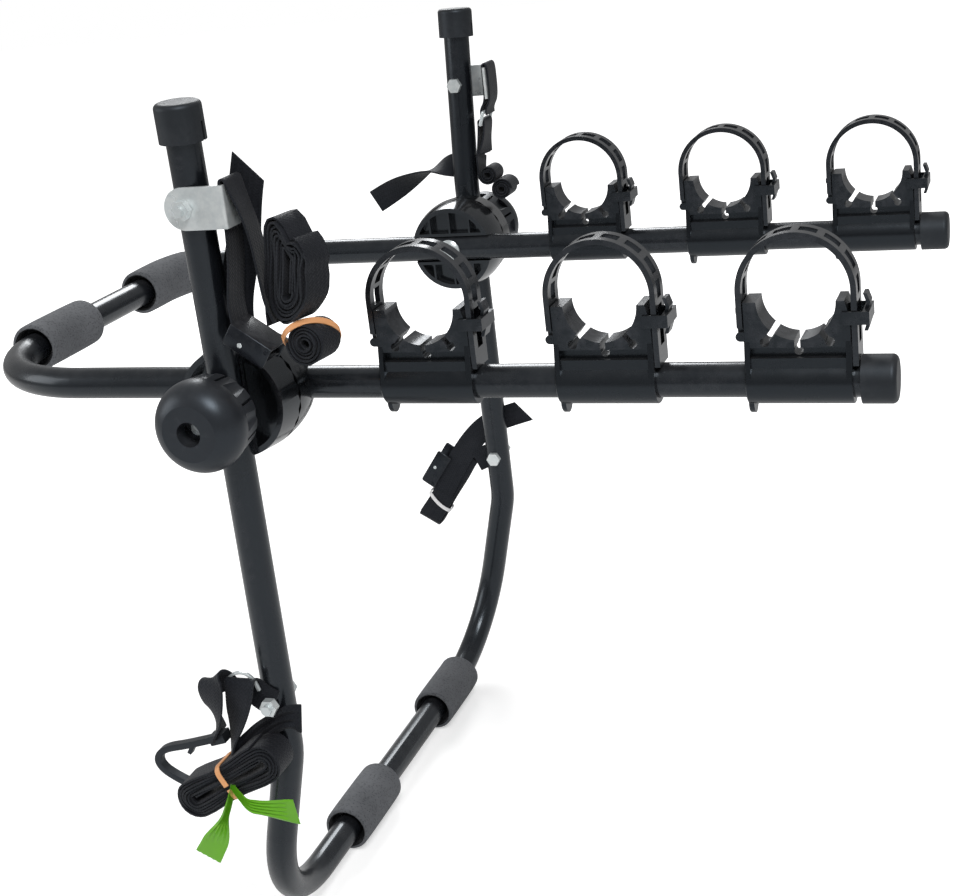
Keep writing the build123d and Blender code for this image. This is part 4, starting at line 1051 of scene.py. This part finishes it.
@dataclass
class Studio:
    """Camera, floor, lamps and world."""

    position: tuple[float, float, float] = (607.53, -1317.31, 358.81)
    right: tuple[float, float, float] = (0.93812, 0.32743, -0.11276)
    up: tuple[float, float, float] = (-0.00883, 0.34812, 0.93741)
    lens: float = 61.955
    floor_drop: float = 2.0 * MM
    world_level: float = 0.22
    world_shine: float = 0.34

    def camera(self) -> None:
        """Places the camera at the photograph's viewing angle."""
        data = bpy.data.cameras.new("camera")
        data.lens = self.lens
        data.sensor_width = 36.0
        data.sensor_fit = "HORIZONTAL"
        data.clip_end = 50.0
        camera = linked("camera", data)
        right, up = Vector(self.right).normalized(), Vector(self.up).normalized()
        back = right.cross(up).normalized()
        turn = Matrix((right, up, back)).transposed().to_4x4()
        camera.matrix_world = Matrix.Translation(mm(*self.position)) @ turn
        bpy.context.scene.camera = camera

    def lamp(self, name: str, place: tuple[float, float, float], size: float, power: float, aim: Vector) -> None:
        """Adds one soft square lamp, with its side in metres and its power in watts, that points at a place."""
        data = bpy.data.lights.new(name, "AREA")
        data.shape = "SQUARE"
        data.size = size
        data.energy = power
        lamp = linked(name, data)
        lamp.location = place
        lamp.rotation_euler = (aim - lamp.location).to_track_quat("-Z", "Y").to_euler()

    def backdrop(self, low: float) -> None:
        """Lays the floor under the rack's lowest point and sets the world behind it."""
        bm = bmesh.new()
        bmesh.ops.create_grid(bm, x_segments=1, y_segments=1, size=9.0)
        bmesh.ops.translate(bm, verts=bm.verts, vec=(0, 0, low - self.floor_drop))
        mesh = bpy.data.meshes.new("floor")
        bm.to_mesh(mesh)
        bm.free()
        floor = linked("floor", mesh)
        material = bpy.data.materials.new("floor_white")
        material.use_nodes = True
        wire = Wiring(material.node_tree)
        shader = material.node_tree.nodes["Principled BSDF"]
        shader.inputs["Base Color"].default_value = (0.86, 0.86, 0.86, 1)
        shader.inputs["Roughness"].default_value = 0.9
        path = wire.add("ShaderNodeLightPath")
        glow = wire.add("ShaderNodeEmission")
        reach = wire.add("ShaderNodeVectorMath", operation="LENGTH")
        wire.join(wire.add("ShaderNodeTexCoord").outputs["Object"], reach.inputs[0])
        far = wire.ramp(reach.outputs["Value"], 0.7, 2.2, 0.5, 1.0)
        wire.join(wire.math("MULTIPLY", path.outputs["Is Camera Ray"], far), glow.inputs["Strength"])
        both = wire.add("ShaderNodeAddShader")
        wire.join(shader.outputs[0], both.inputs[0])
        wire.join(glow.outputs[0], both.inputs[1])
        wire.join(both.outputs[0], material.node_tree.nodes["Material Output"].inputs["Surface"])
        mesh.materials.append(material)
        floor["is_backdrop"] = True
        world = bpy.data.worlds.new("studio")
        world.use_nodes = True
        bpy.context.scene.world = world
        wire = Wiring(world.node_tree)
        back = world.node_tree.nodes["Background"]
        path = wire.add("ShaderNodeLightPath")
        back.inputs["Color"].default_value = (1, 1, 1, 1)
        shine = wire.math("MULTIPLY", path.outputs["Is Glossy Ray"], self.world_shine)
        seen = wire.math("MAXIMUM", path.outputs["Is Camera Ray"], shine)
        wire.join(wire.math("MAXIMUM", seen, self.world_level), back.inputs["Strength"])

    def build(self) -> None:
        """Builds the whole studio."""
        low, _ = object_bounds()
        self.camera()
        self.backdrop(low[2])
        aim = Vector((0.1, 0.0, -0.05))
        self.lamp("key", (1.3, -1.9, 2.3), 1.2, 62.0, aim)
        self.lamp("fill", (-2.4, -1.2, 0.9), 1.5, 18.0, aim)
        self.lamp("rim", (-0.9, 2.2, 1.7), 1.2, 42.0, aim)
        bpy.context.scene.view_settings.view_transform = "Standard"


def main() -> None:
    """Builds the studio and the rack's pieces."""
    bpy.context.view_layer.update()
    Studio().build()
    PAINT.nodes()
    FoamPads().build()
    Straps().build()
    CamBuckle("left_upper", (35.5, -282.58, 54.5), 215.0, "left_upper_anchor", "left_upper_lever_body").build()
    CamBuckle("right_lower", (-80.5, 301.5, -273.2), -54.4, "right_lower_anchor", "right_lower_lever_body",
              nose=7.0).build()


if __name__ == "__main__":
    main()
